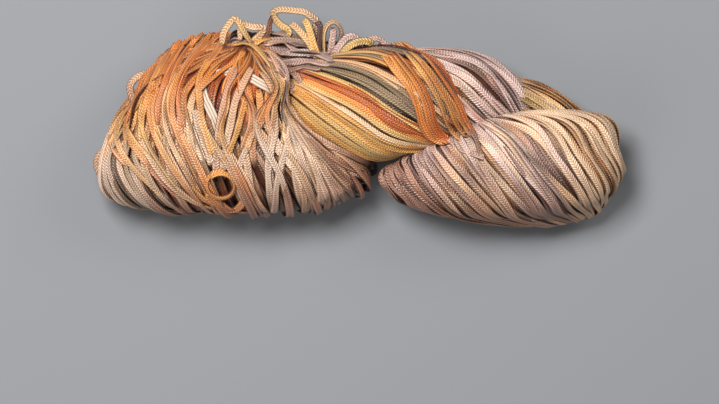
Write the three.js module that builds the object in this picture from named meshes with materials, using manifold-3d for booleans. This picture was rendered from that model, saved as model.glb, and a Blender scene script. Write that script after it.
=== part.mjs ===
// A twisted skein of hand-dyed viscose tape yarn, lying flat: long loops of tape wound into a
// hank, twisted, folded back on itself and tucked, so that it shows as fat lobes of yarn.
// Millimetres, +Z up, +X along the skein, the origin under its middle on the surface.
import * as THREE from 'three';
import { ParametricGeometry } from 'three/addons/geometries/ParametricGeometry.js';
import { mergeVertices } from 'three/addons/utils/BufferGeometryUtils.js';
import Module from 'manifold-3d';

const wasm = await Module();
wasm.setup();

// Driving dimensions
const TAPE_WIDTH = 4.0; // one tape of the yarn, laid flat
const TAPE_THICK = 1.7; // the same tape where it hangs loose and plumps up
const LOCK_RELIEF = 0.8; // how far a lock of tapes stands proud of the furrow beside it
const CAP_SHARE = 0.14; // the share of a lobe's length over which each end closes
const BOW_FROM = 0.33; // the share of a bowed lobe's length over which the bow sets in
const MIDDLE = new THREE.Vector3(-0.6, 0.6, 0); // the drawing's point that becomes the origin
const FLOOR_SLAB = 60; // depth of the block that cuts the resting face
const GROOVE_GAP = 0.35; // clear space between the tie and the yarn around it

const degrees = THREE.MathUtils.degToRad;

// Each lobe is a pass of the yarn from one pinch to the next, lofted through ellipses. A row is a
// section: its centre, half width, half thickness on the outer and the inner side, the heading of
// its width in plan and the lean of its outer side from straight up, both in degrees. The twist is
// how far the locks would wind round the lobe from pinch to pinch, from the share twistFrom on.
// The bow is how far the left end of each section hangs forward, and a square below 1 makes the
// outer side fuller than an ellipse.
const COLUMNS = ['x', 'y', 'z', 'wide', 'outer', 'inner', 'yaw', 'lean'];
const LOBES = [
  {
    name: 'crown fan', around: 72, along: 26, locks: 18, twist: -180, twistFrom: 0.4, leftOnly: true,
    bow: 9.5, square: 0.75,
    rows: [
      [-58, 35.5, 46, 17, 8, 8, 2, 25],
      [-70, 22.5, 53, 34, 15, 36, 2, 33],
      [-73.5, 7, 48, 40.5, 22, 53, 0, 36],
      [-65.5, -10, 38, 61, 27, 58, -3, 48],
      [-61.5, -22.5, 25, 67.5, 26.5, 58, -3, 66],
      [-61.5, -24, 10, 61, 22, 45, -2, 80],
      [-57, -18, -3, 44, 18, 30, 0, 88],
    ],
  },
  {
    name: 'scallop', around: 60, along: 22, locks: 15, twist: -63,
    rows: [
      [64, -3, 28, 20, 10, 12, 16, -28],
      [71, -11, 31, 53, 19, 27, 12, -12],
      [70.5, -22, 29, 60, 26, 30, 5, 4],
      [72, -30.3, 25, 60, 26, 28, 2, 28],
      [74, -36.2, 19, 52, 18, 22, 0, 58],
      [101, -46.5, 11, 20, 8, 11, -4, 84],
    ],
  },
  {
    name: 'front spindle', around: 44, along: 18, locks: 11, twist: 140,
    rows: [
      [-38, 13, 42, 12, 9, 9, 96, 0],
      [-20, 9, 43, 20, 17, 16, 90, 0],
      [8, 7, 42, 28, 22, 20, 84, 0],
      [34, 6, 39, 23, 18, 16, 76, 0],
      [57, -6, 32, 6, 6, 6, 66, 0],
    ],
  },
  {
    name: 'upper spindle', around: 36, along: 16, locks: 9, twist: 60,
    rows: [
      [2, 24, 22, 9, 8, 8, 70, 0],
      [27, 19, 26, 18, 16, 15, 62, -6],
      [50, 13, 28, 22, 18, 16, 55, -8],
      [68.5, 3, 26, 19, 15, 14, 48, -8],
      [84, -8, 20, 9, 8, 8, 40, 0],
    ],
  },
  {
    name: 'far spindle', around: 28, along: 14, locks: 7, twist: 40,
    rows: [
      [44, 14, 17, 10, 9, 9, 66, 0],
      [70, 6.5, 20, 15.5, 13, 13, 64, -8],
      [92.5, -2, 22, 15.5, 13, 13, 60, -8],
      [114, -16, 22, 12, 11, 11, 48, 0],
    ],
  },
  {
    name: 'neck', around: 24, along: 12, locks: 6,
    rows: [
      [-66, 33, 36, 9, 8, 8, 90, 0],
      [-34, 27, 37, 13, 11, 12, 86, -6],
      [6, 24, 33, 8, 7, 8, 84, 0],
    ],
  },
  {
    name: 'lower pass', around: 28, along: 16, locks: 7,
    rows: [
      [-44, 8, 14, 14, 14, 15, 86, 0],
      [-4, 14, 15, 20, 17, 16, 84, -10],
      [42, 14, 15, 19, 16, 16, 80, -10],
      [84, -2, 15, 16, 14, 15, 72, -6],
      [108, -22, 15, 10, 10, 12, 60, 0],
    ],
  },
  {
    name: 'heart', around: 24, along: 12, locks: 6,
    rows: [
      [-74, -8, 30, 20, 18, 20, 90, 0],
      [-20, -12, 24, 24, 20, 22, 88, 0],
      [40, -16, 22, 22, 18, 20, 86, 0],
      [96, -20, 24, 16, 14, 16, 84, 0],
    ],
  },
];

// Loops of tape that spring clear of the lobes, each a line of points from yarn back into yarn.
const LOOSE_LOOPS = {
  topArch: [[-34, 42, 40], [-40, 47.3, 43], [-43, 51, 44], [-40.5, 53, 45], [-34, 53.4, 46], [-28.5, 52.8, 45.5],
    [-24, 50.6, 44.5], [-21.8, 47.5, 43], [-23, 43, 41], [-22, 32, 38]],
  standingLoop: [[-18, 30, 40], [-18.6, 41, 44], [-17.5, 46, 45], [-14, 48.4, 46], [-11, 48, 45],
    [-9, 44, 44], [-9.2, 37, 42], [-15, 28, 38]],
  leaningLoop: [[-14, 29, 40], [-9.5, 37, 43], [-5.5, 40.6, 43], [-1, 38.5, 41], [2, 30, 36]],
  lyingLoop: [[-10, 29, 40], [-6, 35.5, 43], [-1, 38, 42], [4, 38.2, 40], [8, 34, 36]],
  smallLoop: [[2, 31, 34], [5, 38.4, 36], [8, 40.8, 36], [11, 39, 36], [14, 31, 34]],
  crownLoop: [[-67, 33, 50], [-65.3, 43, 50], [-62.3, 48.6, 49], [-59.3, 46, 48.5], [-54, 34, 47]],
  crownFold: [[-60, 36, 47], [-57, 46, 46], [-52.5, 45.6, 45.5], [-48.5, 44.2, 45], [-51, 35, 43]],
  sideLoop: [[-103, 2, 38], [-114, 10, 36], [-117, 17, 35], [-113.5, 22, 35], [-107, 23.5, 36], [-97, 17, 38]],
  tipLoop: [[-122, -32, 24], [-131, -27, 25], [-132, -21, 25], [-128.5, -16, 26], [-119, -14, 28]],
};
const CURL = { x: -69, y: -33.5, z: 53.2, across: 6.6, down: 8.2, tiltSouth: 40 }; // a ring that the tape curls into

// The tie, a closed loop of cord that rounds part of the crown fan, its upper half near the surface.
const TIE_WIDTH = 4.2;
const TIE_THICK = 1.6;
const TIE_ROUTE = [[-69, -9, 62.8], [-71.5, -1.5, 65.2], [-74, 4, 65.9], [-76.5, 9.2, 65.7], [-77.5, 15, 63.5],
  [-72, 20.5, 60], [-63, 22.5, 58.9], [-56, 20.3, 61.5], [-49, 16.5, 62.5], [-42.3, 12.1, 60], [-38.5, 3, 48],
  [-43, -7, 38], [-55, -12, 38], [-64, -13, 50]];

// Catmull-Rom through the rows of a table, one column at a time
function rowAt(rows, share) {
  const spans = rows.length - 1;
  const span = Math.min(Math.floor(share * spans), spans - 1);
  const t = share * spans - span;
  const row = (i) => rows[THREE.MathUtils.clamp(i, 0, spans)];
  const value = (_, c) => {
    const [a, b, p, q] = [row(span - 1)[c], row(span)[c], row(span + 1)[c], row(span + 2)[c]];
    return 0.5 * (2 * b + (p - a) * t + (2 * a - 5 * b + 4 * p - q) * t ** 2 + (3 * b - 3 * p + q - a) * t ** 3);
  };
  return Object.fromEntries(COLUMNS.map((column, c) => [column, value(column, c)]));
}

// How far round its lobe a lock has wound by this share, in radians, counted from the middle share
function wound(lobe, share, angle) {
  const left = (1 - Math.cos(angle)) / 2;
  const side = lobe.leftOnly ? left ** (Math.sin(angle) > 0 ? 3 : 1) : 1;
  return degrees(lobe.twist ?? 0) * (Math.max(share, lobe.twistFrom ?? 0) - 0.5) * side;
}

// One point of a lobe's skin: share runs from pinch to pinch and angle runs round the section
function lobePoint(lobe, share, angle, target) {
  const row = rowAt(lobe.rows, share);
  const toEnd = Math.min(share, 1 - share) / CAP_SHARE;
  const closing = toEnd < 1 ? Math.sqrt(Math.max(0, 1 - (1 - toEnd) ** 2)) : 1;
  const width = new THREE.Vector3(Math.cos(degrees(row.yaw)), Math.sin(degrees(row.yaw)), 0);
  const ahead = new THREE.Vector3(width.y, -width.x, 0);
  const outward = new THREE.Vector3(0, 0, Math.cos(degrees(row.lean)));
  outward.addScaledVector(ahead, Math.sin(degrees(row.lean)));
  const relief = LOCK_RELIEF * Math.cos(lobe.locks * (angle - wound(lobe, share, angle)));
  const across = Math.cos(angle);
  const up = Math.sin(angle);
  const thick = up > 0 ? row.outer : row.inner;
  const fuller = up > 0 ? up ** (lobe.square ?? 1) : up;
  const bow = (lobe.bow ?? 0) * Math.min(share / BOW_FROM, 1) ** 1.5 * Math.max(-across, 0) ** 2;
  target.set(row.x, row.y - closing * bow, row.z);
  target.addScaledVector(width, closing * (row.wide + relief) * across);
  target.addScaledVector(outward, closing * (thick + relief) * fuller);
}

function solidFrom(geometry) {
  geometry.deleteAttribute('normal');
  geometry.deleteAttribute('uv');
  const merged = mergeVertices(geometry, 1e-3);
  const mesh = { numProp: 3, vertProperties: merged.attributes.position.array, triVerts: merged.index.array };
  return new wasm.Manifold(new wasm.Mesh({ ...mesh, triVerts: new Uint32Array(mesh.triVerts) }));
}

function lobeSolid(lobe) {
  const skin = (u, v, target) => {
    const share = 0.5 - 0.5 * Math.cos(Math.PI * u); // closer sections where the ends round off
    lobePoint(lobe, share, -2 * Math.PI * v, target);
  };
  return solidFrom(new ParametricGeometry(skin, lobe.along, lobe.around));
}

// A flattened cord along a smooth line of points; a closed line makes a ring
function cordSolid(points, width, thick, { closed = false, steps = points.length * 2, sides = 8 } = {}) {
  const section = new THREE.Shape(new THREE.EllipseCurve(0, 0, thick / 2, width / 2).getPoints(sides));
  const line = new THREE.CatmullRomCurve3(points.map((p) => new THREE.Vector3(...p)), closed);
  return solidFrom(new THREE.ExtrudeGeometry(section, { steps, extrudePath: line, bevelEnabled: false }));
}

function curlPoints() {
  const turn = new THREE.Matrix4().makeRotationX(degrees(CURL.tiltSouth));
  const place = new THREE.Vector3(CURL.x, CURL.y, CURL.z);
  const count = 12;
  return Array.from({ length: count }, (_, i) => {
    const a = (2 * Math.PI * i) / count;
    const point = new THREE.Vector3(CURL.across * Math.cos(a), CURL.down * Math.sin(a), 0);
    return point.applyMatrix4(turn).add(place).toArray();
  });
}

function meshFrom(solid, name, material) {
  const { numProp, vertProperties, triVerts } = solid.getMesh();
  const corners = new Float32Array((vertProperties.length / numProp) * 3);
  for (let i = 0; i < corners.length / 3; i++) {
    corners.set(vertProperties.subarray(i * numProp, i * numProp + 3), i * 3);
  }
  const geometry = new THREE.BufferGeometry();
  geometry.setAttribute('position', new THREE.BufferAttribute(corners, 3));
  geometry.setIndex(new THREE.BufferAttribute(triVerts, 1));
  geometry.computeVertexNormals();
  const mesh = new THREE.Mesh(geometry, material);
  mesh.name = name;
  return mesh;
}

// The hank: lobes and loose loops joined, less the tie's channel, cut level where it rests. The
// shells that enclose no yarn are the closed pockets between lobes, and those are filled.
function hankSolid() {
  const lobes = LOBES.map(lobeSolid);
  const loops = Object.values(LOOSE_LOOPS).map((points) => cordSolid(points, TAPE_WIDTH, TAPE_THICK));
  loops.push(cordSolid(curlPoints(), TAPE_THICK, TAPE_WIDTH, { closed: true }));
  const joined = [...lobes, ...loops].reduce((whole, piece) => whole.add(piece));
  const channel = cordSolid(TIE_ROUTE, TIE_WIDTH + 2 * GROOVE_GAP, TIE_THICK + 2 * GROOVE_GAP, { closed: true });
  const slab = new THREE.BoxGeometry(400, 300, FLOOR_SLAB).translate(0, 0, -FLOOR_SLAB / 2);
  const carved = joined.subtract(channel).subtract(solidFrom(slab));
  return carved.decompose().filter((shell) => shell.volume() > 0).reduce((whole, shell) => whole.add(shell));
}

const yarn = new THREE.MeshStandardMaterial({ color: 0xcfa27c, roughness: 0.5, metalness: 0 });
const cotton = new THREE.MeshStandardMaterial({ color: 0xf0dccb, roughness: 0.6, metalness: 0 });

const skein = new THREE.Group();
skein.add(meshFrom(hankSolid(), 'hank', yarn));
skein.add(meshFrom(cordSolid(TIE_ROUTE, TIE_WIDTH, TIE_THICK, { closed: true }), 'tie', cotton));
skein.position.copy(MIDDLE).negate();

export default skein;
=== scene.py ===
# %% [markdown]
# # A skein of knitted tape yarn
# The object is one very long tape, knitted 4 mm wide from shiny viscose and dyed by hand. It is wound
# into loops, twisted, and folded back on itself, so that it lies as fat lobes of parallel tapes.
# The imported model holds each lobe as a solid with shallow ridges. This lesson lays the single tapes
# over the same lobes, so the script repeats the lobes' tables and lays the tapes from them.
# All places are written in millimetres on the drawing of the part, and turned into metres at the end.

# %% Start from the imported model
import bpy
import numpy as np
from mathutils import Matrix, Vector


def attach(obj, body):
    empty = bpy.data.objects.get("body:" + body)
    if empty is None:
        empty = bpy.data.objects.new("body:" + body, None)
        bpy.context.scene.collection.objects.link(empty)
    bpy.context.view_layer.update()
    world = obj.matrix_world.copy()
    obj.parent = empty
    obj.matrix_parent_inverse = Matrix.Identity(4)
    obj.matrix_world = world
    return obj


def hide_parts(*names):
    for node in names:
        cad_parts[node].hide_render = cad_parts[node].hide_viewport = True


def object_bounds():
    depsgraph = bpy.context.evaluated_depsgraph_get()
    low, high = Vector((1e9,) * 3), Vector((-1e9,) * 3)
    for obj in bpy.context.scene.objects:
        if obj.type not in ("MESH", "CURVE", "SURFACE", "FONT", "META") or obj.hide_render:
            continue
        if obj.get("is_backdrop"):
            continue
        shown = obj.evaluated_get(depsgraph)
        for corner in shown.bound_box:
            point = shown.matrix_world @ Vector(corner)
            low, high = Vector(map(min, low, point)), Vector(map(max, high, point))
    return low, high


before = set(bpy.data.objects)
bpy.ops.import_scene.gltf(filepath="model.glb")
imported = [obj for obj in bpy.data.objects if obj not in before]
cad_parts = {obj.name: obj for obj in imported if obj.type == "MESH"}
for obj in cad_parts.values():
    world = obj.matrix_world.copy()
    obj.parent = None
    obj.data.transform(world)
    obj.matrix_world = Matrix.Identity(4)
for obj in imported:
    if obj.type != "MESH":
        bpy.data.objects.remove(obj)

cad_low, cad_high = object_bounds()
print("nodes in the frame:", sorted(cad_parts))

# %% [markdown]
# ## The camera
# The skein is seen from straight above. The picture is 719 by 404 pixels, and half a millimetre of the
# skein fills a pixel. A long lens a good way off keeps the tall lobes from looking larger than the low
# ones. The drawing's origin is where the part's own origin was before it was centred.

# %% Camera
MIDDLE = np.array([-0.6, 0.6, 0.0])  # the drawing's point that became the part's origin, mm
MM_PER_PIXEL = 0.5
PICTURE_WIDTH = 719
AIM = np.array([-0.25, -42.0, 35.0])  # what the middle of the picture shows, mm
LENS = 200.0  # focal length, mm
SENSOR = 36.0  # width of the sensor, mm


def metres(points):
    """A point of the drawing in metres of the frame: (point - middle) / 1000."""
    return (np.asarray(points, float) - MIDDLE) / 1000.0


def in_scene(name, data):
    """A new object that shows the data, linked to the scene."""
    made = bpy.data.objects.new(name, data)
    bpy.context.scene.collection.objects.link(made)
    return made


aim = metres(AIM)
distance = PICTURE_WIDTH * MM_PER_PIXEL / 1000.0 * LENS / SENSOR
camera_data = bpy.data.cameras.new("view from above")
camera_data.lens = LENS
camera_data.sensor_width = SENSOR
camera = in_scene("view from above", camera_data)
camera.location = (aim[0], aim[1], aim[2] + distance)
bpy.context.scene.camera = camera
print("camera height above the surface:", round(camera.location.z, 3), "m")

# %% [markdown]
# ## The lobes
# A lobe is a pass of yarn from one pinch to the next. Each row of its table is a section: the centre,
# the half width, the half thickness on the outer and the inner side, the heading of the width in plan
# and the lean of the outer side from straight up. The twist is how far the tapes wind round the lobe
# from pinch to pinch, in degrees. These are the tables of the solid part, so the tapes follow the
# solid's own form.

# %% Tables of the lobes
COLUMNS = ("x", "y", "z", "wide", "outer", "inner", "yaw", "lean")
LOBES = {
    "crown fan": [
        (-58, 35.5, 46, 17, 8, 8, 2, 25),
        (-70, 22.5, 53, 34, 15, 36, 2, 33),
        (-73.5, 7, 48, 40.5, 22, 53, 0, 36),
        (-65.5, -10, 38, 61, 27, 58, -3, 48),
        (-61.5, -22.5, 25, 67.5, 26.5, 58, -3, 66),
        (-61.5, -24, 10, 61, 22, 45, -2, 80),
        (-57, -18, -3, 44, 18, 30, 0, 88),
    ],
    "scallop": [
        (64, -3, 28, 20, 10, 12, 16, -28),
        (71, -11, 31, 53, 19, 27, 12, -12),
        (70.5, -22, 29, 60, 26, 30, 5, 4),
        (72, -30.3, 25, 60, 26, 28, 2, 28),
        (74, -36.2, 19, 52, 18, 22, 0, 58),
        (101, -46.5, 11, 20, 8, 11, -4, 84),
    ],
    "front spindle": [
        (-38, 13, 42, 12, 9, 9, 96, 0),
        (-20, 9, 43, 20, 17, 16, 90, 0),
        (8, 7, 42, 28, 22, 20, 84, 0),
        (34, 6, 39, 23, 18, 16, 76, 0),
        (57, -6, 32, 6, 6, 6, 66, 0),
    ],
    "upper spindle": [
        (2, 24, 22, 9, 8, 8, 70, 0),
        (27, 19, 26, 18, 16, 15, 62, -6),
        (50, 13, 28, 22, 18, 16, 55, -8),
        (68.5, 3, 26, 19, 15, 14, 48, -8),
        (84, -8, 20, 9, 8, 8, 40, 0),
    ],
    "far spindle": [
        (44, 14, 17, 10, 9, 9, 66, 0),
        (70, 6.5, 20, 15.5, 13, 13, 64, -8),
        (92.5, -2, 22, 15.5, 13, 13, 60, -8),
        (114, -16, 22, 12, 11, 11, 48, 0),
    ],
    "neck": [
        (-66, 33, 36, 9, 8, 8, 90, 0),
        (-34, 27, 37, 13, 11, 12, 86, -6),
        (6, 24, 33, 8, 7, 8, 84, 0),
    ],
    "lower pass": [
        (-44, 8, 14, 14, 14, 15, 86, 0),
        (-4, 14, 15, 20, 17, 16, 84, -10),
        (42, 14, 15, 19, 16, 16, 80, -10),
        (84, -2, 15, 16, 14, 15, 72, -6),
        (108, -22, 15, 10, 10, 12, 60, 0),
    ],
}
LOCKS = {  # how many locks of tapes lie round each lobe
    "crown fan": 18, "scallop": 15, "front spindle": 11, "upper spindle": 9, "far spindle": 7,
    "neck": 6, "lower pass": 7,
}
TWIST = {  # winding from pinch to pinch, in degrees
    "crown fan": -180, "scallop": -63, "front spindle": 140, "upper spindle": 60, "far spindle": 40,
}
TWIST_FROM = {"crown fan": 0.4}  # the share where the winding starts, where it isn't the pinch
LEFT_ONLY = {"crown fan"}  # lobes that wind on their left side alone
BOW = {"crown fan": 9.5}  # how far the left end of each section hangs forward, mm
BOW_FROM = 0.33  # the share over which the bow sets in
SQUARE = {"crown fan": 0.75}  # below 1 the outer side is fuller than an ellipse
LEAST_HALF = 1.5  # least half width and half thickness of a layer, mm
WIND_SOFT = 0.06  # the share over which the winding sets in
CAP_SHARE = 0.14  # the share of a lobe's length over which each end closes
print(len(LOBES), "lobes")


# %% Points on a lobe
def catmull_rom(rows, share):
    """Half of 2b + (p - a)t + (2a - 5b + 4p - q)t^2 + (3b - 3p + q - a)t^3 between rows b and p."""
    rows = np.asarray(rows, float)
    spans = len(rows) - 1
    span = np.clip((share * spans).astype(int), 0, spans - 1)
    t = (share * spans - span)[..., None]
    a, b, p, q = (rows[np.clip(span + step, 0, spans)] for step in (-1, 0, 1, 2))
    return 0.5 * (2 * b + (p - a) * t + (2 * a - 5 * b + 4 * p - q) * t**2
                  + (3 * b - 3 * p + q - a) * t**3)


def from_ends(share, reach):
    """0 at both ends, and 1 from the reach on: (distance to the nearer end) / reach."""
    return np.clip(np.minimum(share, 1 - share) / reach, 0, 1)


def lobe_skin(lobe, share, angle, depth):
    """Centre + width direction * (wide - depth) cos(angle) + outward * (thick - depth) sin(angle),
    both shrunk near the ends by the quarter circle sqrt(1 - (1 - distance to the end)^2). A square
    raises sin(angle) to its power on top, and a bow * cos(angle)^2 moves the left end forward, where
    the bow grows by (share / BOW_FROM)^1.5."""
    row = dict(zip(COLUMNS, np.moveaxis(catmull_rom(LOBES[lobe], share), -1, 0)))
    closing = np.sqrt(1 - (1 - from_ends(share, CAP_SHARE)) ** 2)
    yaw = np.radians(row["yaw"])
    lean = np.radians(row["lean"])
    flat = np.zeros_like(yaw)
    width = np.stack([np.cos(yaw), np.sin(yaw), flat], -1)
    ahead = np.stack([np.sin(yaw), -np.cos(yaw), flat], -1)
    outward = ahead * np.sin(lean)[..., None]
    outward[..., 2] += np.cos(lean)
    up = np.sin(angle)
    thick = np.where(up > 0, row["outer"], row["inner"])
    fuller = np.where(up > 0, np.maximum(up, 0.0) ** SQUARE.get(lobe, 1.0), up)
    bow = BOW.get(lobe, 0.0) * np.minimum(share / BOW_FROM, 1) ** 1.5
    bow = bow * np.maximum(-np.cos(angle), 0) ** 2
    half_wide = closing * np.maximum(row["wide"] - depth, LEAST_HALF)
    half_thick = closing * np.maximum(thick - depth, LEAST_HALF)
    centre = np.stack([row["x"], row["y"] - closing * bow, row["z"]], -1)
    return (centre + width * (half_wide * np.cos(angle))[..., None]
            + outward * (half_thick * fuller)[..., None])


def wound(lobe, share, angle):
    """twist * (held - 0.5), where held = from + soft * log(1 + exp((share - from) / soft)) stays
    near where the winding starts and then follows the share. On a lobe that winds on its left
    side alone this is multiplied by left = (1 - cos(angle)) / 2, or left^3 on top."""
    start = TWIST_FROM.get(lobe, 0)
    held = start + WIND_SOFT * np.logaddexp(0, (share - start) / WIND_SOFT)
    left = (1 - np.cos(angle)) / 2
    side = left ** np.where(np.sin(angle) > 0, 3, 1) if lobe in LEFT_ONLY else 1.0
    return np.radians(TWIST.get(lobe, 0)) * (held - 0.5) * side


def angle_along(lobe, share, start):
    """The angle at which miss = angle - wound(angle) - start is 0, by Newton's steps: the angle
    less the miss over its slope, which is measured a hundredth of a radian to each side."""
    angle = start + 0 * share
    near = 0.01
    rounds = 8
    least_slope = 0.15
    for _ in range(rounds):
        miss = angle - wound(lobe, share, angle) - start
        slope = 1 - (wound(lobe, share, angle + near) - wound(lobe, share, angle - near)) / (2 * near)
        angle = angle - miss / np.maximum(slope, least_slope)
    return angle


def girth_angles(lobe):
    """Angles round the middle section, with the length of skin from angle 0 up to each of them."""
    fine = np.linspace(0, 2 * np.pi, 721)
    ring = lobe_skin(lobe, np.full_like(fine, 0.5), fine, 0.0)
    lengths = np.linalg.norm(np.diff(ring, axis=0), axis=-1)
    return fine, np.concatenate([[0.0], np.cumsum(lengths)])


for name in LOBES:
    print(name, "girth", round(float(girth_angles(name)[1][-1])), "mm")


# %% [markdown]
# ## The height of the yarn
# Stray tapes and loops lie on top of whatever lobe is there. A height map of the lobes gives the level
# under any point. It could be found by casting rays, but the lobes are formulas, so their points are
# simply dropped into square cells of a plan, and each cell keeps its highest one.

# %% Height map
CELL = 1.5  # side of a cell, mm
PLAN_LOW = np.array([-140.0, -64.0])  # the plan's corner with the lowest x and y, mm
PLAN_CELLS = (190, 86)  # cells in x and in y
SLOPE_STEP = 2.5  # how far to each side a slope is measured, mm


def height_map():
    """The highest skin point in each cell, then the mean of each cell and its eight neighbours."""
    level = np.zeros(PLAN_CELLS)
    share, angle = np.meshgrid(np.linspace(0.002, 0.998, 300), np.linspace(0, 2 * np.pi, 420))
    for lobe in LOBES:
        skin = lobe_skin(lobe, share, angle, 0.0).reshape(-1, 3)
        cell = ((skin[:, :2] - PLAN_LOW) / CELL).astype(int)
        np.maximum.at(level, (cell[:, 0], cell[:, 1]), skin[:, 2])
    padded = np.pad(level, 1, mode="edge")
    around = [padded[i:i + PLAN_CELLS[0], j:j + PLAN_CELLS[1]] for i in range(3) for j in range(3)]
    return np.mean(around, axis=0)


LEVEL = height_map()


def top_at(x, y):
    """The height map between its cells: the mean of the four nearest, weighted by nearness."""
    u = np.clip((x - PLAN_LOW[0]) / CELL - 0.5, 0, PLAN_CELLS[0] - 2.001)
    v = np.clip((y - PLAN_LOW[1]) / CELL - 0.5, 0, PLAN_CELLS[1] - 2.001)
    i = u.astype(int)
    j = v.astype(int)
    s = u - i
    t = v - j
    return ((1 - s) * (1 - t) * LEVEL[i, j] + s * (1 - t) * LEVEL[i + 1, j]
            + (1 - s) * t * LEVEL[i, j + 1] + s * t * LEVEL[i + 1, j + 1])


def top_normal(x, y):
    """Upright of the height map: (-slope in x, -slope in y, 1), made one long."""
    slope_x = (top_at(x + SLOPE_STEP, y) - top_at(x - SLOPE_STEP, y)) / (2 * SLOPE_STEP)
    slope_y = (top_at(x, y + SLOPE_STEP) - top_at(x, y - SLOPE_STEP)) / (2 * SLOPE_STEP)
    normal = np.stack([-slope_x, -slope_y, np.ones_like(slope_x)], -1)
    return normal / np.linalg.norm(normal, axis=-1, keepdims=True)


print("highest yarn:", round(float(LEVEL.max()), 1), "mm")

# %% [markdown]
# ## Sweeping a tape
# The knitted tape is a flat tube with a shallow furrow down the middle of each face. Its section has
# eight points, and the section is carried along every path at once, as one array of tapes by steps by
# section points. A curve with a bevel could do this tape by tape. The array does it for a whole layer,
# with a width, a thickness and a roll at each step, and it gives the stitches their own map.

# %% One mesh from many swept tapes
RIM_ACROSS = np.array([1, 0.74, 0, -0.74, -1, -0.74, 0, 0.74])
RIM_UP = np.array([0, 1, 0.84, 1, 0, -1, -0.84, -1])
ROUND_ACROSS = np.cos(np.arange(8) * np.pi / 4)
ROUND_UP = np.sin(np.arange(8) * np.pi / 4)
SURFACE = 0.06  # no vertex goes lower than this above the surface, mm
SURFACE_SOFT = 0.35  # how gently a tape bends as it meets the surface, mm
SURFACE_NEAR = 3.0  # points higher than this stay as they are, mm
# Painted shade at the rims and underneath each tape: dye^power, times a factor, for each rim point
RIM_SHADE_POWER = np.array([2.6, 1.05, 1.3, 1.05, 2.6, 3.0, 3.0, 3.0])
RIM_PAINTED_SHADE = np.array([0.4, 1.0, 0.84, 1.0, 0.4, 0.25, 0.25, 0.25])


def unit(vectors):
    """Each vector divided by its own length."""
    return vectors / np.maximum(np.linalg.norm(vectors, axis=-1, keepdims=True), 1e-9)


def sweep(path, face, wide, thick, roll, rim=(RIM_ACROSS, RIM_UP)):
    """Section point = path + side * across * wide / 2 + up * height * thick / 2, with side and up
    turned about the path by the roll. Close to the surface z becomes SURFACE + soft * log(1 +
    exp((z - SURFACE) / soft)). Returns points (tapes, steps, 8, 3)."""
    tangent = unit(np.gradient(path, axis=1))
    side = unit(np.cross(tangent, face))
    up = np.cross(side, tangent)
    turn_cos = np.cos(roll)[..., None]
    turn_sin = np.sin(roll)[..., None]
    rolled_side = side * turn_cos + up * turn_sin
    rolled_up = up * turn_cos - side * turn_sin
    across = (wide[..., None] / 2 * rim[0])[..., None] * rolled_side[:, :, None, :]
    above = (thick[..., None] / 2 * rim[1])[..., None] * rolled_up[:, :, None, :]
    points = path[:, :, None, :] + across + above
    lift = np.logaddexp(0, (points[..., 2] - SURFACE) / SURFACE_SOFT) * SURFACE_SOFT
    points[..., 2] = np.where(points[..., 2] < SURFACE_NEAR, SURFACE + lift, points[..., 2])
    return points


def tape_mesh(name, points, dye):
    """Quads between neighbouring sections, and three quads over each end of each tape. The map
    'tape' holds the share of the way round the section and the millimetres along the tape."""
    tapes, steps, rim = points.shape[:3]
    index = np.arange(tapes * steps * rim).reshape(tapes, steps, rim)
    turned = np.roll(index, -1, axis=2)
    walls = np.stack([index[:, :-1], index[:, 1:], turned[:, 1:], turned[:, :-1]], -1).reshape(-1, 4)
    start_cap = index[:, 0][:, [[0, 1, 2, 3], [0, 3, 4, 7], [4, 5, 6, 7]]].reshape(-1, 4)
    end_cap = index[:, -1][:, [[3, 2, 1, 0], [7, 4, 3, 0], [7, 6, 5, 4]]].reshape(-1, 4)
    faces = np.concatenate([walls, start_cap, end_cap])
    middle = points.mean(axis=2)
    along = np.zeros((tapes, steps))
    along[:, 1:] = np.cumsum(np.linalg.norm(np.diff(middle, axis=1), axis=-1), axis=1)
    start = np.broadcast_to(along[:, :-1, None], index[:, :-1].shape)
    end = np.broadcast_to(along[:, 1:, None], index[:, :-1].shape)
    low = np.broadcast_to(np.arange(rim) / rim, index[:, :-1].shape)
    high = low + 1 / rim
    wall_map = np.stack([np.stack([low, start], -1), np.stack([low, end], -1),
                         np.stack([high, end], -1), np.stack([high, start], -1)], -2).reshape(-1, 2)
    cap_map = np.zeros(((len(start_cap) + len(end_cap)) * 4, 2))
    corner_map = np.concatenate([wall_map, cap_map])
    mesh = bpy.data.meshes.new(name)
    mesh.vertices.add(index.size)
    mesh.vertices.foreach_set("co", metres(points).astype(np.float32).ravel())
    mesh.loops.add(faces.size)
    mesh.loops.foreach_set("vertex_index", faces.astype(np.int32).ravel())
    mesh.polygons.add(len(faces))
    mesh.polygons.foreach_set("loop_start", np.arange(0, faces.size, 4, dtype=np.int32))
    mesh.polygons.foreach_set("use_smooth", np.ones(len(faces), bool))
    mesh.update(calc_edges=True)
    mesh.uv_layers.new(name="tape").data.foreach_set("uv", corner_map.astype(np.float32).ravel())
    colour = np.ones((tapes, steps, rim, 4), np.float32)
    even = np.clip(dye, 0, None) / np.maximum(dye.max(axis=-1, keepdims=True), 1)
    # Painted shade: the rims and undersides of each tape are darkened into its colour
    rim_shaded = even[:, :, None, :] ** RIM_SHADE_POWER[:, None]
    colour[..., :3] = rim_shaded * RIM_PAINTED_SHADE[:, None]
    # The attribute 'dye' holds the dye together with all of its painted shade
    layer = mesh.attributes.new("dye", "FLOAT_COLOR", "POINT")
    layer.data.foreach_set("color", colour.ravel())
    piece = in_scene(name, mesh)
    print(name, "-", tapes, "tapes,", 2 * len(faces), "triangles")
    return piece


# %% [markdown]
# ## The dyes
# The yarn was dyed by hand, so one colour runs into the next, and neighbouring tapes differ because
# each lies a little further along its own length. Every dye is a named colour, and every lobe has a few
# patches of dye, each with a middle, a reach and a strength. A tape reads the patches a few
# millimetres off its true place, by its own amount, which gives the streaks. The front spindle
# also has clear stripes, so there a table round the section gives the colour of whole tapes.

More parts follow.
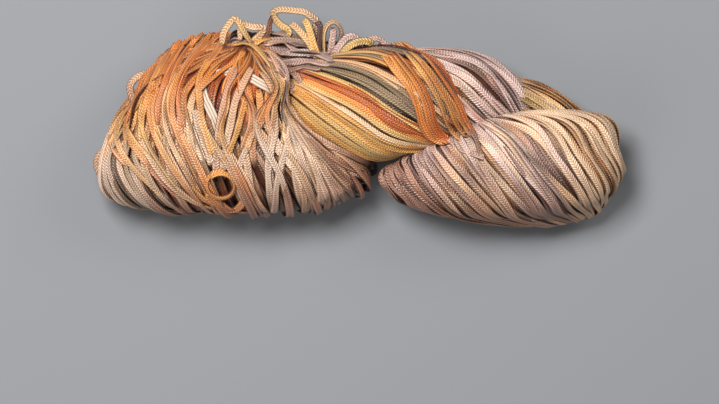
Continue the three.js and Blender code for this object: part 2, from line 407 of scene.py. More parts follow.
# %% Named dyes
DYES = {
    "orange": (230, 152, 78),
    "deep orange": (208, 108, 42),
    "amber": (238, 184, 108),
    "gold": (236, 200, 136),
    "cream": (248, 218, 186),
    "pale rose": (240, 214, 194),
    "beige": (230, 194, 158),
    "rose brown": (184, 136, 112),
    "mauve": (208, 176, 164),
    "pale mauve": (226, 200, 192),
    "dark mauve": (150, 116, 112),
    "plum": (118, 84, 78),
    "brown": (156, 98, 56),
    "olive gold": (204, 172, 110),
    "charcoal": (158, 142, 120),
}


def linear(colour):
    """From a screen colour in 0 to 255 to light: ((c / 255 + 0.055) / 1.055)^2.4."""
    return ((np.asarray(colour, float) / 255 + 0.055) / 1.055) ** 2.4


DYE_LIGHT = {name: linear(colour) for name, colour in DYES.items()}


def lights_of(names):
    """The dyes of the given names as one row of light for each tape."""
    return np.array([DYE_LIGHT[name] for name in names])[:, None, :]


# Patches of dye, two of them painted shade: middle x and y, reach in x and y, the dye and its strength
PATCHES = {
    "crown fan": [
        (-92, 24, 20, 14, "orange", 1.5), (-70, 27, 14, 12, "orange", 1.2),
        (-112, 10, 14, 12, "orange", 0.9), (-116, -4, 12, 12, "amber", 1.1),
        (-62, 34, 16, 8, "amber", 0.8), (-52, 6, 11, 12, "orange", 1.5),
        (-62, -8, 8, 12, "amber", 0.9), (-88, 2, 12, 10, "beige", 1.3),
        (-98, -16, 14, 10, "cream", 1.1), (-78, -16, 12, 12, "beige", 1.1),
        (-126, -24, 10, 14, "pale rose", 1.3), (-112, -38, 24, 9, "pale rose", 1.5),
        # The brown patch at the fan's bottom middle is painted shade along its lower edge
        (-96, -26, 16, 7, "beige", 0.9), (-86, -39, 16, 7, "brown", 0.5),
        (-74, -40, 12, 8, "orange", 1.0),
        (-56, -20, 10, 14, "pale rose", 1.0), (-40, -14, 14, 14, "pale rose", 1.2),
        (-39, 8, 6, 12, "gold", 1.0), (-22, -20, 14, 14, "beige", 1.1),
        (-8, -28, 12, 14, "rose brown", 1.3), (-36, -44, 22, 8, "rose brown", 0.8),
        (-30, 26, 12, 12, "mauve", 1.0), (-60, -50, 30, 6, "rose brown", 0.8),
    ],
    "scallop": [
        # The first rose brown patch is painted shade over the scallop's left end
        (14, -28, 13, 13, "rose brown", 1.2), (20, -42, 20, 8, "rose brown", 1.1),
        (30, -18, 12, 8, "pale mauve", 1.2), (44, -34, 6, 12, "beige", 0.9),
        (38, -24, 12, 14, "mauve", 0.9), (58, -36, 6, 11, "dark mauve", 1.2),
        (60, -8, 10, 10, "pale mauve", 1.0), (66, -24, 8, 14, "cream", 1.3),
        (84, -18, 10, 12, "pale mauve", 1.3), (90, -3, 18, 8, "cream", 1.2),
        (98, -36, 9, 10, "dark mauve", 1.1), (82, -42, 10, 7, "mauve", 0.9),
        (112, -12, 14, 14, "cream", 1.8), (122, -28, 12, 14, "cream", 1.6),
        (116, -42, 12, 8, "beige", 0.9), (70, -44, 12, 8, "beige", 0.9),
        (50, -50, 26, 6, "rose brown", 0.9),
    ],
    "front spindle": [
        (-30, 18, 12, 10, "orange", 1.2), (-26, 0, 14, 10, "gold", 1.2),
        (-8, -8, 18, 9, "gold", 1.1), (0, 26, 24, 12, "amber", 1.0), (20, 6, 16, 16, "amber", 0.8),
        (38, 2, 12, 16, "deep orange", 1.2), (50, 2, 10, 14, "brown", 0.7),
        (10, -18, 22, 7, "gold", 0.9),
    ],
    "upper spindle": [
        (34, 32, 14, 8, "pale mauve", 1.2), (50, 24, 12, 9, "pale mauve", 1.2),
        (46, 14, 10, 7, "gold", 1.0), (70, 18, 14, 12, "pale mauve", 1.4),
        (60, 4, 10, 10, "mauve", 0.9), (20, 26, 12, 12, "orange", 0.8),
    ],
    "far spindle": [
        (84, 16, 10, 10, "beige", 1.0), (92, 12, 8, 10, "gold", 1.2),
        (80, 12, 5, 8, "olive gold", 1.0), (102, 8, 8, 8, "cream", 1.2),
        (112, -14, 12, 12, "gold", 0.7),
    ],
    "neck": [
        (-50, 32, 16, 12, "mauve", 0.9), (-34, 30, 12, 10, "dark mauve", 0.9),
        (-14, 28, 16, 10, "pale mauve", 1.1), (0, 30, 10, 8, "gold", 0.6),
        (-26, 38, 16, 6, "olive gold", 0.6),
    ],
    "lower pass": [
        (-30, 10, 30, 16, "rose brown", 1.0), (20, 24, 24, 12, "mauve", 1.0),
        (60, 12, 20, 14, "beige", 0.8), (100, -14, 20, 16, "rose brown", 0.8),
    ],
}
# Stripes of the front spindle: share of the way over the top, from its back edge, and the dye
STRIPES = [
    (0.000, "charcoal"), (0.100, "deep orange"), (0.150, "gold"), (0.185, "charcoal"),
    (0.220, "amber"), (0.285, "beige"), (0.320, "charcoal"), (0.395, "gold"),
    (0.415, "charcoal"), (0.475, "gold"), (0.492, "charcoal"), (0.520, "deep orange"),
    (0.555, "orange"), (0.590, "amber"), (0.610, "gold"), (0.640, "cream"), (0.670, "amber"),
    (0.690, "gold"), (0.720, "cream"), (0.740, "amber"), (0.755, "dark mauve"), (0.775, "gold"),
    (0.800, "cream"), (0.825, "amber"), (0.860, "gold"), (0.890, "amber"),
]
READ_OFF = (4.5, 4.0)  # spread of how far off its place a tape reads the patches, in x and y, mm
READ_SWING = 2.5  # how much that changes along a tape, mm
FAVOUR = 0.6  # spread between tapes of how strongly they take up one patch
FADE = 0.9  # how steeply a patch fades with the square of the distance
FAR_PATCH = 1e-5  # what a far patch still counts, so that every place has a dye
TAPE_SHADE = 0.14  # spread of light and dark between tapes
ALONG_SHADE = 0.06  # swing of light and dark along a tape
STRIPE_SHIFT = 0.008  # spread of a tape's place in the table of stripes
print(len(DYES), "dyes,", sum(len(rows) for rows in PATCHES.values()), "patches")


# %% Waves that wander
def wander(rng, tapes, steps, waves=(0.7, 2.6), parts=4):
    """A sum of cosines along each tape, cos(2 pi f u + phase), with f and phase drawn for each
    tape, divided by the root of half their number, so that it swings by about one."""
    run = np.linspace(0, 1, steps)
    total = np.zeros((tapes, steps))
    for _ in range(parts):
        rate = rng.uniform(*waves, (tapes, 1))
        phase = rng.uniform(0, 2 * np.pi, (tapes, 1))
        total = total + np.cos(2 * np.pi * rate * run + phase)
    return total / np.sqrt(parts / 2)


def patch_dye(lobe, path, rng, spread=1.0):
    """Sum of strength * dye * exp(-fade * distance^2) over the lobe's patches, divided by the sum of
    strength * exp(-fade * distance^2), then each tape is made lighter or darker by its own share."""
    tapes, steps = path.shape[:2]
    off_x = rng.normal(0, READ_OFF[0], (tapes, 1)) + READ_SWING * wander(rng, tapes, steps)
    off_y = rng.normal(0, READ_OFF[1], (tapes, 1)) + READ_SWING * wander(rng, tapes, steps)
    x = path[..., 0] + spread * off_x
    y = path[..., 1] + spread * off_y
    total = np.zeros(path.shape)
    weights = np.full((tapes, steps, 1), 1e-6)
    for px, py, reach_x, reach_y, dye, strength in PATCHES[lobe]:
        far = ((x - px) / reach_x) ** 2 + ((y - py) / reach_y) ** 2
        favour = np.exp(rng.normal(0, FAVOUR * spread, (tapes, 1)))
        weight = (strength * favour * np.exp(-FADE * far) + FAR_PATCH / (1 + far))[..., None]
        total += weight * DYE_LIGHT[dye]
        weights += weight
    shade = rng.normal(0, TAPE_SHADE, (tapes, 1)) + ALONG_SHADE * wander(rng, tapes, steps, (2, 7))
    return total / weights * np.exp(shade)[..., None]


def stripe_dye(angle, rng):
    """The dye of the stripe that a tape's own angle falls in, as a whole tape has one colour."""
    half_turn = np.abs((angle + np.pi / 2) % (2 * np.pi) - np.pi) / np.pi
    over = np.where(np.sin(angle) > 0, angle / np.pi, half_turn)
    over = np.clip(over + rng.normal(0, STRIPE_SHIFT, angle.shape), 0, 0.999)
    starts = np.array([start for start, _ in STRIPES])
    lights = np.array([DYE_LIGHT[dye] for _, dye in STRIPES])
    return lights[np.searchsorted(starts, over, side="right") - 1]


# %% [markdown]
# ## Windows in the crown fan
# Two gaps between the outer tapes show the pale tie round the loops underneath. A gap is made the way
# a finger makes one: tapes that pass through it are pushed aside, and those further off hardly move.

# %% Windows and the route of the tie
TIE_ROUTE = [(-69, -9, 62.8), (-71.5, -1.5, 65.2), (-74, 4, 65.9), (-76.5, 9.2, 65.7),
             (-77.5, 15, 63.5), (-72, 20.5, 60), (-63, 22.5, 58.9), (-56, 20.3, 61.5),
             (-49, 16.5, 62.5), (-42.3, 12.1, 60), (-38.5, 3, 48), (-43, -7, 38), (-55, -12, 38),
             (-64, -13, 50), (-69, -9, 62.8)]
# Middle x and y, half size along the push, half size along the tapes, heading of the push
WINDOWS = [
    (-73.0, 6.0, 5.8, 13.0, -12.0),
    (-49.0, 14.0, 7.0, 11.0, 8.0),
]
CLOSED_AT = 1.7  # a gap is closed at this many half sizes along the tapes
CALM_AT = 3.0  # tapes this many half sizes off to the side hardly move
TOP_YARN = 40.0  # only yarn above this height is moved for the tie, mm
TIE_SHOWS = 56.0  # the part of the tie above this height lies under the outer tapes, mm
TIE_REACH = 2.6  # how far to the side of the tie the tapes over it are lifted, mm


def part_tapes(path):
    """In each window's own axes a (push) and b (along the tape) a tape on the side s of the middle
    goes to a' = s sqrt(a^2 + L^2), with L = half size * cos^2(pi / 2 * b / closed). The move is
    faded in by L, and out to the sides by exp(-(a / calm)^2)."""
    moved = path.copy()
    for x, y, half, long, heading in WINDOWS:
        push = np.array([np.cos(np.radians(heading)), np.sin(np.radians(heading))])
        run = np.array([-push[1], push[0]])
        from_middle = moved[..., :2] - np.array([x, y])
        a = from_middle @ push
        b = from_middle @ run
        near = np.clip(b / (CLOSED_AT * long), -1, 1)
        limit = half * np.cos(np.pi / 2 * near) ** 2 * (moved[..., 2] > TOP_YARN)
        nearest = np.argmin(np.abs(b) + 1e3 * (moved[..., 2] < TOP_YARN), axis=1)[:, None]
        side = np.sign(np.take_along_axis(a, nearest, axis=1) + 1e-6)
        weight = limit / half
        pushed = a * (1 - weight) + side * np.sqrt(np.maximum(side * a, 0) ** 2 + limit**2) * weight
        moved[..., :2] += ((pushed - a) * np.exp(-((a / (CALM_AT * half)) ** 2)))[..., None] * push
    return moved


def over_tie(path):
    """exp(-(distance in plan to the tie / reach)^2), for the upper half of the tie alone."""
    route = catmull_rom(TIE_ROUTE, np.linspace(0, 1, 120))
    route = route[route[:, 2] > TIE_SHOWS]
    gap = np.linalg.norm(path[..., None, :2] - route[:, :2], axis=-1).min(axis=-1)
    return np.exp(-((gap / TIE_REACH) ** 2)) * (path[..., 2] > TOP_YARN)


print(len(WINDOWS), "windows")

# %% [markdown]
# ## Laying the tapes of a lobe
# In each layer the tapes run from pinch to pinch at even steps round the girth. They gather into locks
# with a furrow between, drift sideways, ride up and down and roll, each by waves of its own. Where the
# girth is small there is less room for each tape, so it narrows and stands more on its edge. Deeper
# layers are calmer, their dye is darkened by painted shade, and they fill the gaps of the layer above.

# %% Layers of every lobe
TAPE_WIDTH = 4.0  # mm
TAPE_THICK = 1.15  # mm
# Columns: lobe, name of the layer, pitch, depth, drift, loft, roll in degrees, share of the full width
LAYERS = [
    ("crown fan", "outer", 5.0, 0.6, 4.2, 1.3, 24, 1.0),
    ("crown fan", "second", 3.9, 2.3, 2.8, 0.7, 22, 0.92),
    ("crown fan", "third", 3.4, 3.9, 1.6, 0.4, 14, 0.92),
    ("scallop", "outer", 3.2, 0.6, 1.5, 0.6, 26, 0.92),
    ("scallop", "second", 3.1, 2.0, 1.0, 0.4, 20, 0.9),
    ("scallop", "third", 3.4, 3.4, 0.6, 0.3, 12, 1.0),
    ("front spindle", "outer", 2.55, 0.5, 0.8, 0.35, 22, 0.78),
    ("front spindle", "second", 2.7, 1.8, 0.6, 0.3, 18, 0.8),
    ("front spindle", "third", 3.2, 3.0, 0.5, 0.2, 12, 0.95),
    ("upper spindle", "outer", 2.7, 0.5, 1.1, 0.5, 24, 0.85),
    ("upper spindle", "second", 2.8, 1.8, 0.8, 0.4, 18, 0.85),
    ("far spindle", "outer", 3.1, 0.6, 1.2, 0.6, 22, 0.95),
    ("far spindle", "second", 3.0, 1.8, 0.8, 0.3, 18, 0.9),
    ("neck", "outer", 3.2, 0.7, 1.8, 1.1, 26, 0.9),
    ("neck", "second", 3.0, 2.0, 1.0, 0.5, 20, 0.9),
    ("lower pass", "outer", 3.1, 0.6, 1.2, 0.6, 22, 0.95),
    ("lower pass", "second", 3.2, 1.9, 0.8, 0.3, 16, 0.95),
]
# What the light loses in each layer: dye^power, times a factor
LAYER_SHADE = {"outer": (1.0, 1.0), "second": (1.7, 0.72), "third": (2.6, 0.42)}
TIE_LIFT = {"outer": 1.0, "second": -2.2, "third": -1.6}  # how the tie moves the tapes at it, mm
STEP = 3.0  # length of tape between sections, mm
LONGER = 1.15  # a winding tape's length over that of the lobe's middle line
SPACING = 0.35  # how far a tape is off its even step, in steps
GATHER = 0.5  # how far tapes are drawn to the middle of their lock, from 0 to 1
FIRST_SECTION = (0.004, 0.03)  # tapes start and end within these shares from the lobe's ends
CLOSER_ENDS = 0.65  # how much closer together the sections are at the pinches
DEPTH_SPREAD = 0.3  # spread of depth between the tapes of a layer, mm
LEAST_SHARE = 0.35  # share of its width that a tape keeps where it has no room
ROOM_SHARE = 0.7  # what full room adds to that share
WIDTH_LIMITS = (1.5, 4.3)  # mm
PLUMP = 0.5  # how much thicker a tape is where it has no room
THICK_SPREAD = 0.08  # spread of thickness between tapes
ROLL_OFFSET = 0.4  # the middle of a tape's roll, in its layer's roll
ROLL_NARROW = 1.2  # how much more it rolls where it has no room


STRIPE_HOLD = 0.85  # how far the stripes rule over the patches in the middle
START_LOSS, START_SHARE = 0.5, 0.3  # what that loses at the first pinch, and over which share
END_LOSS, END_SHARE = 0.6, 0.85  # what it loses past this share


def stripe_hold(share):
    """The hold, less start loss * (1 - share / start share) near the first pinch, and less the end
    loss past the end share."""
    at_start = START_LOSS * np.clip(1 - share / START_SHARE, 0, 1)
    return (STRIPE_HOLD - at_start - END_LOSS * (share > END_SHARE))[..., None]


def lobe_tapes(lobe, layer, pitch, depth, drift, loft, roll, share_wide, seed):
    """A tape keeps its start angle and winds with its lobe. Its width is the full width * (least
    share + room share * room), where the room is the distance to its neighbour over the pitch.
    Returns the section points and the dye, darkened by the painted shade of its layer."""
    rng = np.random.default_rng(seed)
    fine, girth = girth_angles(lobe)
    tapes = int(girth[-1] / pitch)
    places = (np.arange(tapes) + 0.5 + rng.uniform(-SPACING, SPACING, tapes)) / tapes * girth[-1]
    angle = np.interp(places, girth, fine)
    locks = LOCKS[lobe]
    angle = angle - GATHER / locks * np.sin(locks * angle)
    spine = lobe_skin(lobe, np.linspace(0.02, 0.98, 60), np.full(60, np.pi / 2), 0.0)
    steps = int(np.linalg.norm(np.diff(spine, axis=0), axis=-1).sum() * LONGER / STEP) + 8
    run = np.linspace(0, 1, steps)
    first = rng.uniform(*FIRST_SECTION, (tapes, 1))
    last = 1 - rng.uniform(*FIRST_SECTION, (tapes, 1))
    slowed = (1 - CLOSER_ENDS) * run + CLOSER_ENDS * (0.5 - 0.5 * np.cos(np.pi * run))
    share = first + (last - first) * slowed
    half_wide = catmull_rom(LOBES[lobe], share)[..., COLUMNS.index("wide")]
    swing = wander(rng, tapes, steps, (0.3, 1.4))
    start = angle[:, None] + drift * swing / half_wide
    turned = angle_along(lobe, share, start)
    deep = depth + rng.normal(0, DEPTH_SPREAD, (tapes, 1))
    deep = deep - loft * np.abs(wander(rng, tapes, steps, (0.6, 2.6)))
    path = lobe_skin(lobe, share, turned, deep)
    step_aside = np.pi / tapes
    beside = lobe_skin(lobe, share, angle_along(lobe, share, start + step_aside), deep)
    behind = lobe_skin(lobe, share, angle_along(lobe, share, start - step_aside), deep)
    face = unit(np.cross(beside - behind, np.gradient(path, axis=1)))
    tangent = unit(np.gradient(path, axis=1))
    aside = beside - behind
    aside = aside - tangent * np.sum(aside * tangent, axis=-1, keepdims=True)
    room = np.linalg.norm(aside, axis=-1) / pitch
    narrow = np.clip(LEAST_SHARE + ROOM_SHARE * room, 0, 1)
    wide = TAPE_WIDTH * share_wide * narrow * (1 + 0.10 * wander(rng, tapes, steps, (1, 5)))
    wide = np.clip(wide, *WIDTH_LIMITS)
    thick = TAPE_THICK * (1 + PLUMP * (1 - narrow))
    thick = thick * np.exp(rng.normal(0, THICK_SPREAD, (tapes, 1)))
    lean = np.radians(roll) * (wander(rng, tapes, steps, (0.4, 2.0)) + ROLL_OFFSET)
    lean = lean * (1 + ROLL_NARROW * (1 - narrow))
    if lobe == "crown fan" and layer == "outer":
        path = part_tapes(path)
    if lobe == "crown fan":
        path[..., 2] += TIE_LIFT[layer] * over_tie(path)
    dye = patch_dye(lobe, path, rng)
    if lobe == "front spindle":
        striped = stripe_dye(angle, rng)[:, None, :] * np.exp(rng.normal(0, 0.1, (tapes, 1, 1)))
        hold = stripe_hold(share)
        dye = dye * (1 - hold) + striped * hold
    # Deeper layers take painted shade: their dye to a power, times a factor
    power, light = LAYER_SHADE[layer]
    return sweep(path, face, wide, thick, lean), dye**power * light


yarn_pieces = []
for number, (lobe, layer, *sizes) in enumerate(LAYERS):
    piece_name = f"{lobe} {layer} tapes".replace(" ", "_")
    yarn_pieces.append(tape_mesh(piece_name, *lobe_tapes(lobe, layer, *sizes, seed=100 + number)))

# %% [markdown]
# ## The dark inside
# Between the deepest tapes no light should come through from the far side. A smooth skin of each lobe,
# a little inside the last layer, closes it off. It is the same function of share and angle, on a grid.

# %% Cores
CORE_DEPTH = {"crown fan": 5.4, "scallop": 4.6, "front spindle": 4.2}  # mm under the lobe's skin
CORE_DEPTH_OTHER = 3.2
CORE_FLOOR = 0.8  # the cores stay this far above the surface, mm
CORE_GRID = (40, 56)  # rings along a lobe and points round it


def core_mesh(name, lobes):
    """One closed grid for each lobe: rings of points from pole to pole, with the seam joined."""
    rings, around = CORE_GRID
    share, angle = np.meshgrid(np.linspace(0.001, 0.999, rings),
                               np.arange(around) * 2 * np.pi / around, indexing="ij")
    skins = []
    quads = []
    caps = []
    for order, lobe in enumerate(lobes):
        skin = lobe_skin(lobe, share, angle, CORE_DEPTH.get(lobe, CORE_DEPTH_OTHER))
        skin[..., 2] = np.maximum(skin[..., 2], CORE_FLOOR)
        index = np.arange(rings * around).reshape(rings, around) + order * rings * around
        turned = np.roll(index, -1, axis=1)
        quads.append(np.stack([index[:-1], index[1:], turned[1:], turned[:-1]], -1).reshape(-1, 4))
        caps += [index[0].tolist(), index[-1][::-1].tolist()]
        skins.append(skin.reshape(-1, 3))
    mesh = bpy.data.meshes.new(name)
    mesh.from_pydata(metres(np.concatenate(skins)).tolist(), [],
                     np.concatenate(quads).tolist() + caps)
    mesh.polygons.foreach_set("use_smooth", np.ones(len(mesh.polygons), bool))
    mesh.update()
    print(name, "-", len(mesh.polygons), "faces")
    return in_scene(name, mesh)


core = core_mesh("shaded_cores", list(LOBES))

# %% [markdown]
# ## Tapes laid one by one
# Some tapes have a place of their own, which no even layer gives: a pair side by side over the middle
# of the crown fan, steep ones and slants that cross the others, and those of the neck and the pinch.
# Each is a short list of points in plan. It rides a little above the lobes and dips under its
# neighbours at both ends. Where many lie side by side, in the band over the front spindle and down
# both sides of the fan, a family of tapes is spread between two or three such lists.

# %% Routes over the lobes
# Dye, width, roll in degrees, then the points x, y
OVER_ROUTES = {
    "orange slant": ("orange", 3.8, 10, [
        (-68.7, 42.4), (-68.7, 38.0), (-70.6, 33.0), (-74.1, 28.1), (-77.8, 22.5), (-84.8, 14.4),
        (-87.9, 7.4), (-88.9, -2.5), (-87.9, -12.9), (-84.9, -22.7), (-81.0, -30.2)]),
    "left of the left window": ("amber", 3.8, 6, [
        (-73.0, 32.9), (-75.4, 27.0), (-78.9, 21.1), (-79.9, 14.2), (-79.6, 8.3), (-78.2, -0.8),
        (-75.2, -9.5), (-72.5, -17.4), (-70.5, -24.3)]),
    "left of the pair": ("mauve", 4.0, 6, [
        (-59.1, 27.9), (-61.5, 22.3), (-64.7, 14.1), (-67.7, 3.3), (-69.7, -6.6), (-70.3, -13.0),
        (-71.0, -20.3), (-71.2, -25.3), (-71.6, -31)]),
    "right of the pair": ("pale rose", 4.0, -6, [
        (-52.2, 26.5), (-54.5, 22.3), (-58.5, 15.3), (-62.0, 7.2), (-64.0, -2.8), (-66.0, -12.9),
        (-67.0, -20.9), (-67.6, -25.3), (-68.2, -31)]),
    "crown arch": ("gold", 3.8, 10, [
        (-68.2, 34.1), (-63.8, 36.1), (-60.5, 36.8), (-57.7, 37.2), (-52.6, 35.2), (-46.6, 28.6),
        (-41.6, 21.5), (-39.0, 13.8), (-37.6, 5.4), (-36.8, -2.5), (-37.6, -11.4), (-38.6, -21.2),
        (-39.5, -32.1), (-40.5, -43.5)]),
    "beside the arch": ("mauve", 3.7, 12, [
        (-49.7, 35.9), (-45.2, 32.0), (-41.6, 26.3), (-38.6, 19.3), (-36.6, 12.4), (-35.6, 4.5),
        (-34.1, -3.4), (-32.2, -11.8), (-29.2, -21.2), (-27.2, -31.1), (-26.7, -41.0), (-27.2, -50.4)]),
    "right of the window": ("beige", 3.7, 6, [
        (-52.8, 25.1), (-48.4, 21.9), (-44.9, 17.5), (-42.7, 12.8), (-42.0, 6.4), (-42.7, -1.5),
        (-44.4, -12.4), (-44.9, -22.3), (-43.9, -33.1), (-43.0, -43.5), (-42.5, -48.9)]),
    "steep pale": ("pale rose", 3.8, -6, [
        (-42.0, 8.4), (-41.8, -0.5), (-42.0, -8.9), (-44.0, -17.3), (-45.5, -26.2), (-45.0, -36.1),
        (-44.0, -46.9)]),
    "steep pale two": ("pale rose", 3.8, 8, [
        (-35.6, 0.5), (-34.6, -7.4), (-36.1, -15.3), (-39.1, -24.2), (-41.6, -34.1), (-42.6, -44.0),
        (-43.5, -49.9)]),
    "steep pale three": ("beige", 3.8, -8, [
        (-37.6, -3.9), (-36.1, -11.3), (-33.6, -19.2), (-30.7, -27.2), (-28.7, -35.1), (-27.7, -42.5),
        (-28.2, -49.4)]),
    "steep pale four": ("pale rose", 3.8, 10, [
        (-34.7, -0.4), (-29.7, -8.3), (-26.3, -14.3), (-22.8, -23.2), (-20.3, -32.1), (-19.3, -41.0),
        (-19.8, -48.4)]),
    "crossing to the curl": ("pale rose", 3.6, 24, [
        (-41.5, 6.4), (-45.5, -0.5), (-48.4, -4.9), (-52.9, -11.4), (-56.3, -17.3), (-58.8, -22.7),
        (-60.3, -28.7), (-60.1, -34.1), (-58.8, -39.5), (-55.4, -44.0), (-50.4, -46.9)]),
    "left low right": ("beige", 3.7, 10, [
        (-57.9, -6.4), (-56.9, -16.3), (-55.4, -26.2), (-53.5, -36.1), (-50.0, -44.0), (-46.5, -47.9)]),
    "to the curl": ("amber", 3.6, 10, [
        (-55.8, 12.3), (-57.3, 5.4), (-59.3, -1.5), (-61.2, -8.4), (-63.7, -15.3), (-66.2, -21.3),
        (-69.1, -25.2)]),
    "orange middle": ("orange", 3.6, 10, [
        (-55.3, 18.2), (-54.3, 10.3), (-53.3, 2.4), (-54.3, -5.5), (-57.2, -12.4), (-58.7, -18.8)]),
    "orange middle two": ("amber", 3.6, -10, [
        (-50.4, 15.3), (-49.4, 8.4), (-49.9, 1.4), (-52.3, -5.5), (-54.8, -12.4), (-55.8, -19.3)]),
    "orange middle three": ("orange", 3.6, 12, [
        (-46.4, 14.3), (-45.9, 8.4), (-46.9, 2.5), (-49.9, -4.5), (-52.4, -11.4), (-53.4, -18.3),
        (-52.4, -26.2)]),
    "under the curl": ("orange", 3.6, 10, [
        (-91.3, -1.3), (-87.3, -10.2), (-81.9, -21.2), (-76.9, -31.1), (-72.5, -38.0), (-66.5, -44.0),
        (-59.1, -46.5), (-50.6, -48.0)]),
    "bottom sweep": ("amber", 3.6, -8, [
        (-104.3, -1.3), (-100.3, -11.2), (-94.4, -22.1), (-87.4, -31.6), (-79.5, -39.0),
        (-70.5, -44.0), (-61.6, -46.5)]),
    "bottom sweep two": ("beige", 3.6, 12, [
        (-110.3, -2.3), (-107.8, -11.2), (-102.8, -21.1), (-95.9, -31.1), (-87.4, -39.0),
        (-78.5, -44.0), (-68.6, -46.5)]),
    "edge crossing": ("amber", 3.4, -12, [
        (-116.2, -1.3), (-114.3, -7.2), (-110.3, -13.2), (-104.3, -20.1), (-99.4, -25.1),
        (-95.4, -31.1)]),
    "tail of the curl": ("orange", 3.5, 16, [
        (-75.8, -35.1), (-74.8, -39.5), (-71.4, -43.5), (-66.9, -46.0), (-62.4, -46.0), (-59.0, -43.5),
        (-56.5, -39.0)]),
    "pale left": ("pale rose", 3.9, -6, [
        (-85.9, 8.3), (-83.9, -0.5), (-81.9, -9.4), (-79.5, -17.3), (-76.5, -24.2)]),
    "pale left two": ("pale rose", 3.8, 8, [
        (-81.4, 6.4), (-79.9, -2.5), (-77.5, -11.4), (-75.0, -19.3), (-73.0, -25.2)]),
    "left edge": ("amber", 3.5, 12, [
        (-105.4, 23.6), (-106.9, 17.7), (-108.9, 10.7), (-111.4, 4.7), (-115.9, 0.3), (-119.8, -5.2),
        (-121.8, -12.2)]),
    "neck a": ("mauve", 3.8, 10, [
        (-48.7, 35.6), (-44.8, 37.1), (-41.0, 37.4), (-36.6, 36.8), (-32.1, 32.9), (-27.3, 31.6),
        (-21.9, 30.1)]),
    "neck b": ("pale mauve", 4.0, 12, [
        (-41.7, 30.6), (-36.6, 31.2), (-29.9, 31.8), (-23.3, 31.8), (-16.6, 29.0), (-11.6, 26.8)]),
    "neck c": ("mauve", 3.8, -8, [
        (-43.8, 25.6), (-39.4, 26.3), (-33.3, 27.4), (-26.1, 27.9), (-19.4, 26.3), (-12.2, 25.7)]),
    "neck d": ("rose brown", 3.7, 10, [
        (-37.7, 23.0), (-32.1, 23.9), (-27.7, 25.0), (-23.2, 24.0), (-18.9, 23.5)]),
    "neck e": ("rose brown", 3.6, -10, [
        (-43.6, 27.4), (-38.7, 25.0), (-34.3, 22.8), (-31.0, 19.5), (-28.8, 15.5)]),
    "neck f": ("dark mauve", 3.6, 10, [
        (-43.6, 24.5), (-38.7, 21.6), (-36.0, 18.3), (-33.7, 14.4), (-32.7, 10.6)]),
    "neck g": ("olive gold", 3.7, -10, [
        (-53.8, 36.1), (-50.0, 38.5), (-43.3, 39.6), (-36.6, 40.8), (-31.9, 40.1), (-26.9, 37.6)]),
    "neck i": ("dark mauve", 3.6, 12, [
        (-37.8, 37.6), (-34.4, 36.9), (-28.9, 35.2), (-24.4, 33.6), (-19.9, 30.7)]),
    "neck j": ("mauve", 3.6, 16, [
        (-48.8, 39.6), (-44.8, 42.1), (-40.3, 42.6), (-35.8, 42.1), (-31.3, 39.6), (-27.9, 36.6)]),
    "neck k": ("mauve", 3.6, 10, [
        (-45.7, 29.5), (-41.2, 26.5), (-36.7, 20.5), (-34.7, 14.6)]),
    "pinch loop": ("pale mauve", 3.4, 10, [
        (42.7, -10.2), (45.7, -11.2), (48.6, -14.7), (53.6, -17.7), (59.1, -19.7), (62.5, -21.2)]),
    "pinch loop back": ("dark mauve", 3.0, 12, [
        (44.7, -10.7), (47.6, -9.2), (50.6, -7.3), (54.6, -6.8), (57.6, -10.2), (59.5, -17.2),
        (62.5, -25.1)]),
}
# Families of tapes, each spread between guide lines: over the front spindle, down the left of the
# crown fan from its back edge, and down its right. Columns: share of the way across the guides,
# dye, share of the guides' length at which the tape ends
BAND_GUIDES = [
    [(8, 37), (12.3, 31), (17.2, 24), (23.5, 15), (27.3, 5), (29.1, -3.6), (33, -10), (39, -12.5),
     (48, -13.5)],
    [(21, 37.5), (27, 33), (32.9, 28), (41.1, 17.3), (48.7, 6.4), (52, 0), (54.5, -4), (57, -8),
     (60, -12)],
]
BAND = [
    (0.0, "orange", 1.0), (0.12, "orange", 0.98), (0.24, "orange", 0.99), (0.35, "deep orange", 0.96),
    (0.60, "gold", 1.0), (0.76, "amber", 0.98), (0.88, "amber", 1.0), (1.0, "orange", 0.97),
]
CURTAIN_GUIDES = [
    [(-104.5, 28.7), (-107, 21.7), (-109.5, 11.8), (-114.5, 4.8), (-120, -0.7), (-123.4, -7.7),
     (-122.9, -15.1), (-119, -23.1), (-112.5, -31), (-103.5, -39), (-93.6, -45.5), (-87.6, -48)],
    [(-88.6, 38.2), (-91.1, 34.2), (-95, 27.3), (-99, 19.4), (-102.5, 11), (-104.4, 3.5),
     (-103.5, -4.4), (-100.5, -12.3), (-96, -20.2), (-90.1, -29.1), (-83.7, -38), (-77.7, -47.9)],
    [(-70.6, 43.9), (-73.6, 39), (-77.5, 33), (-83, 25.1), (-86.9, 17.2), (-88.9, 8.9),
     (-88.4, -0.5), (-85.9, -9.4), (-83, -17.3), (-79.5, -26.2), (-76, -35.1), (-73.1, -47.9)],
]
CURTAIN = [
    (0.02, "orange", 0.72), (0.09, "amber", 0.95), (0.16, "orange", 0.64), (0.22, "deep orange", 1.0),
    (0.29, "orange", 0.8), (0.35, "amber", 0.66), (0.42, "gold", 0.97), (0.49, "orange", 0.74),
    (0.55, "orange", 1.0), (0.62, "deep orange", 0.6), (0.68, "orange", 0.9), (0.75, "beige", 1.0),
    (0.81, "orange", 0.7), (0.88, "orange", 0.97), (0.94, "amber", 0.78), (1.0, "deep orange", 0.66),
]
RIGHT_GUIDES = [
    [(-38.3, 8.7), (-37.3, -1.2), (-34.8, -16.2), (-33.3, -31.1), (-29.8, -46)],
    [(-38, 9.2), (-29.8, -6.2), (-18.9, -21.1), (-10.9, -33.5), (-6, -42)],
    [(-37.3, 9.7), (-28.8, -4.2), (-17.4, -13.2), (-5, -19.6), (8, -25)],
]
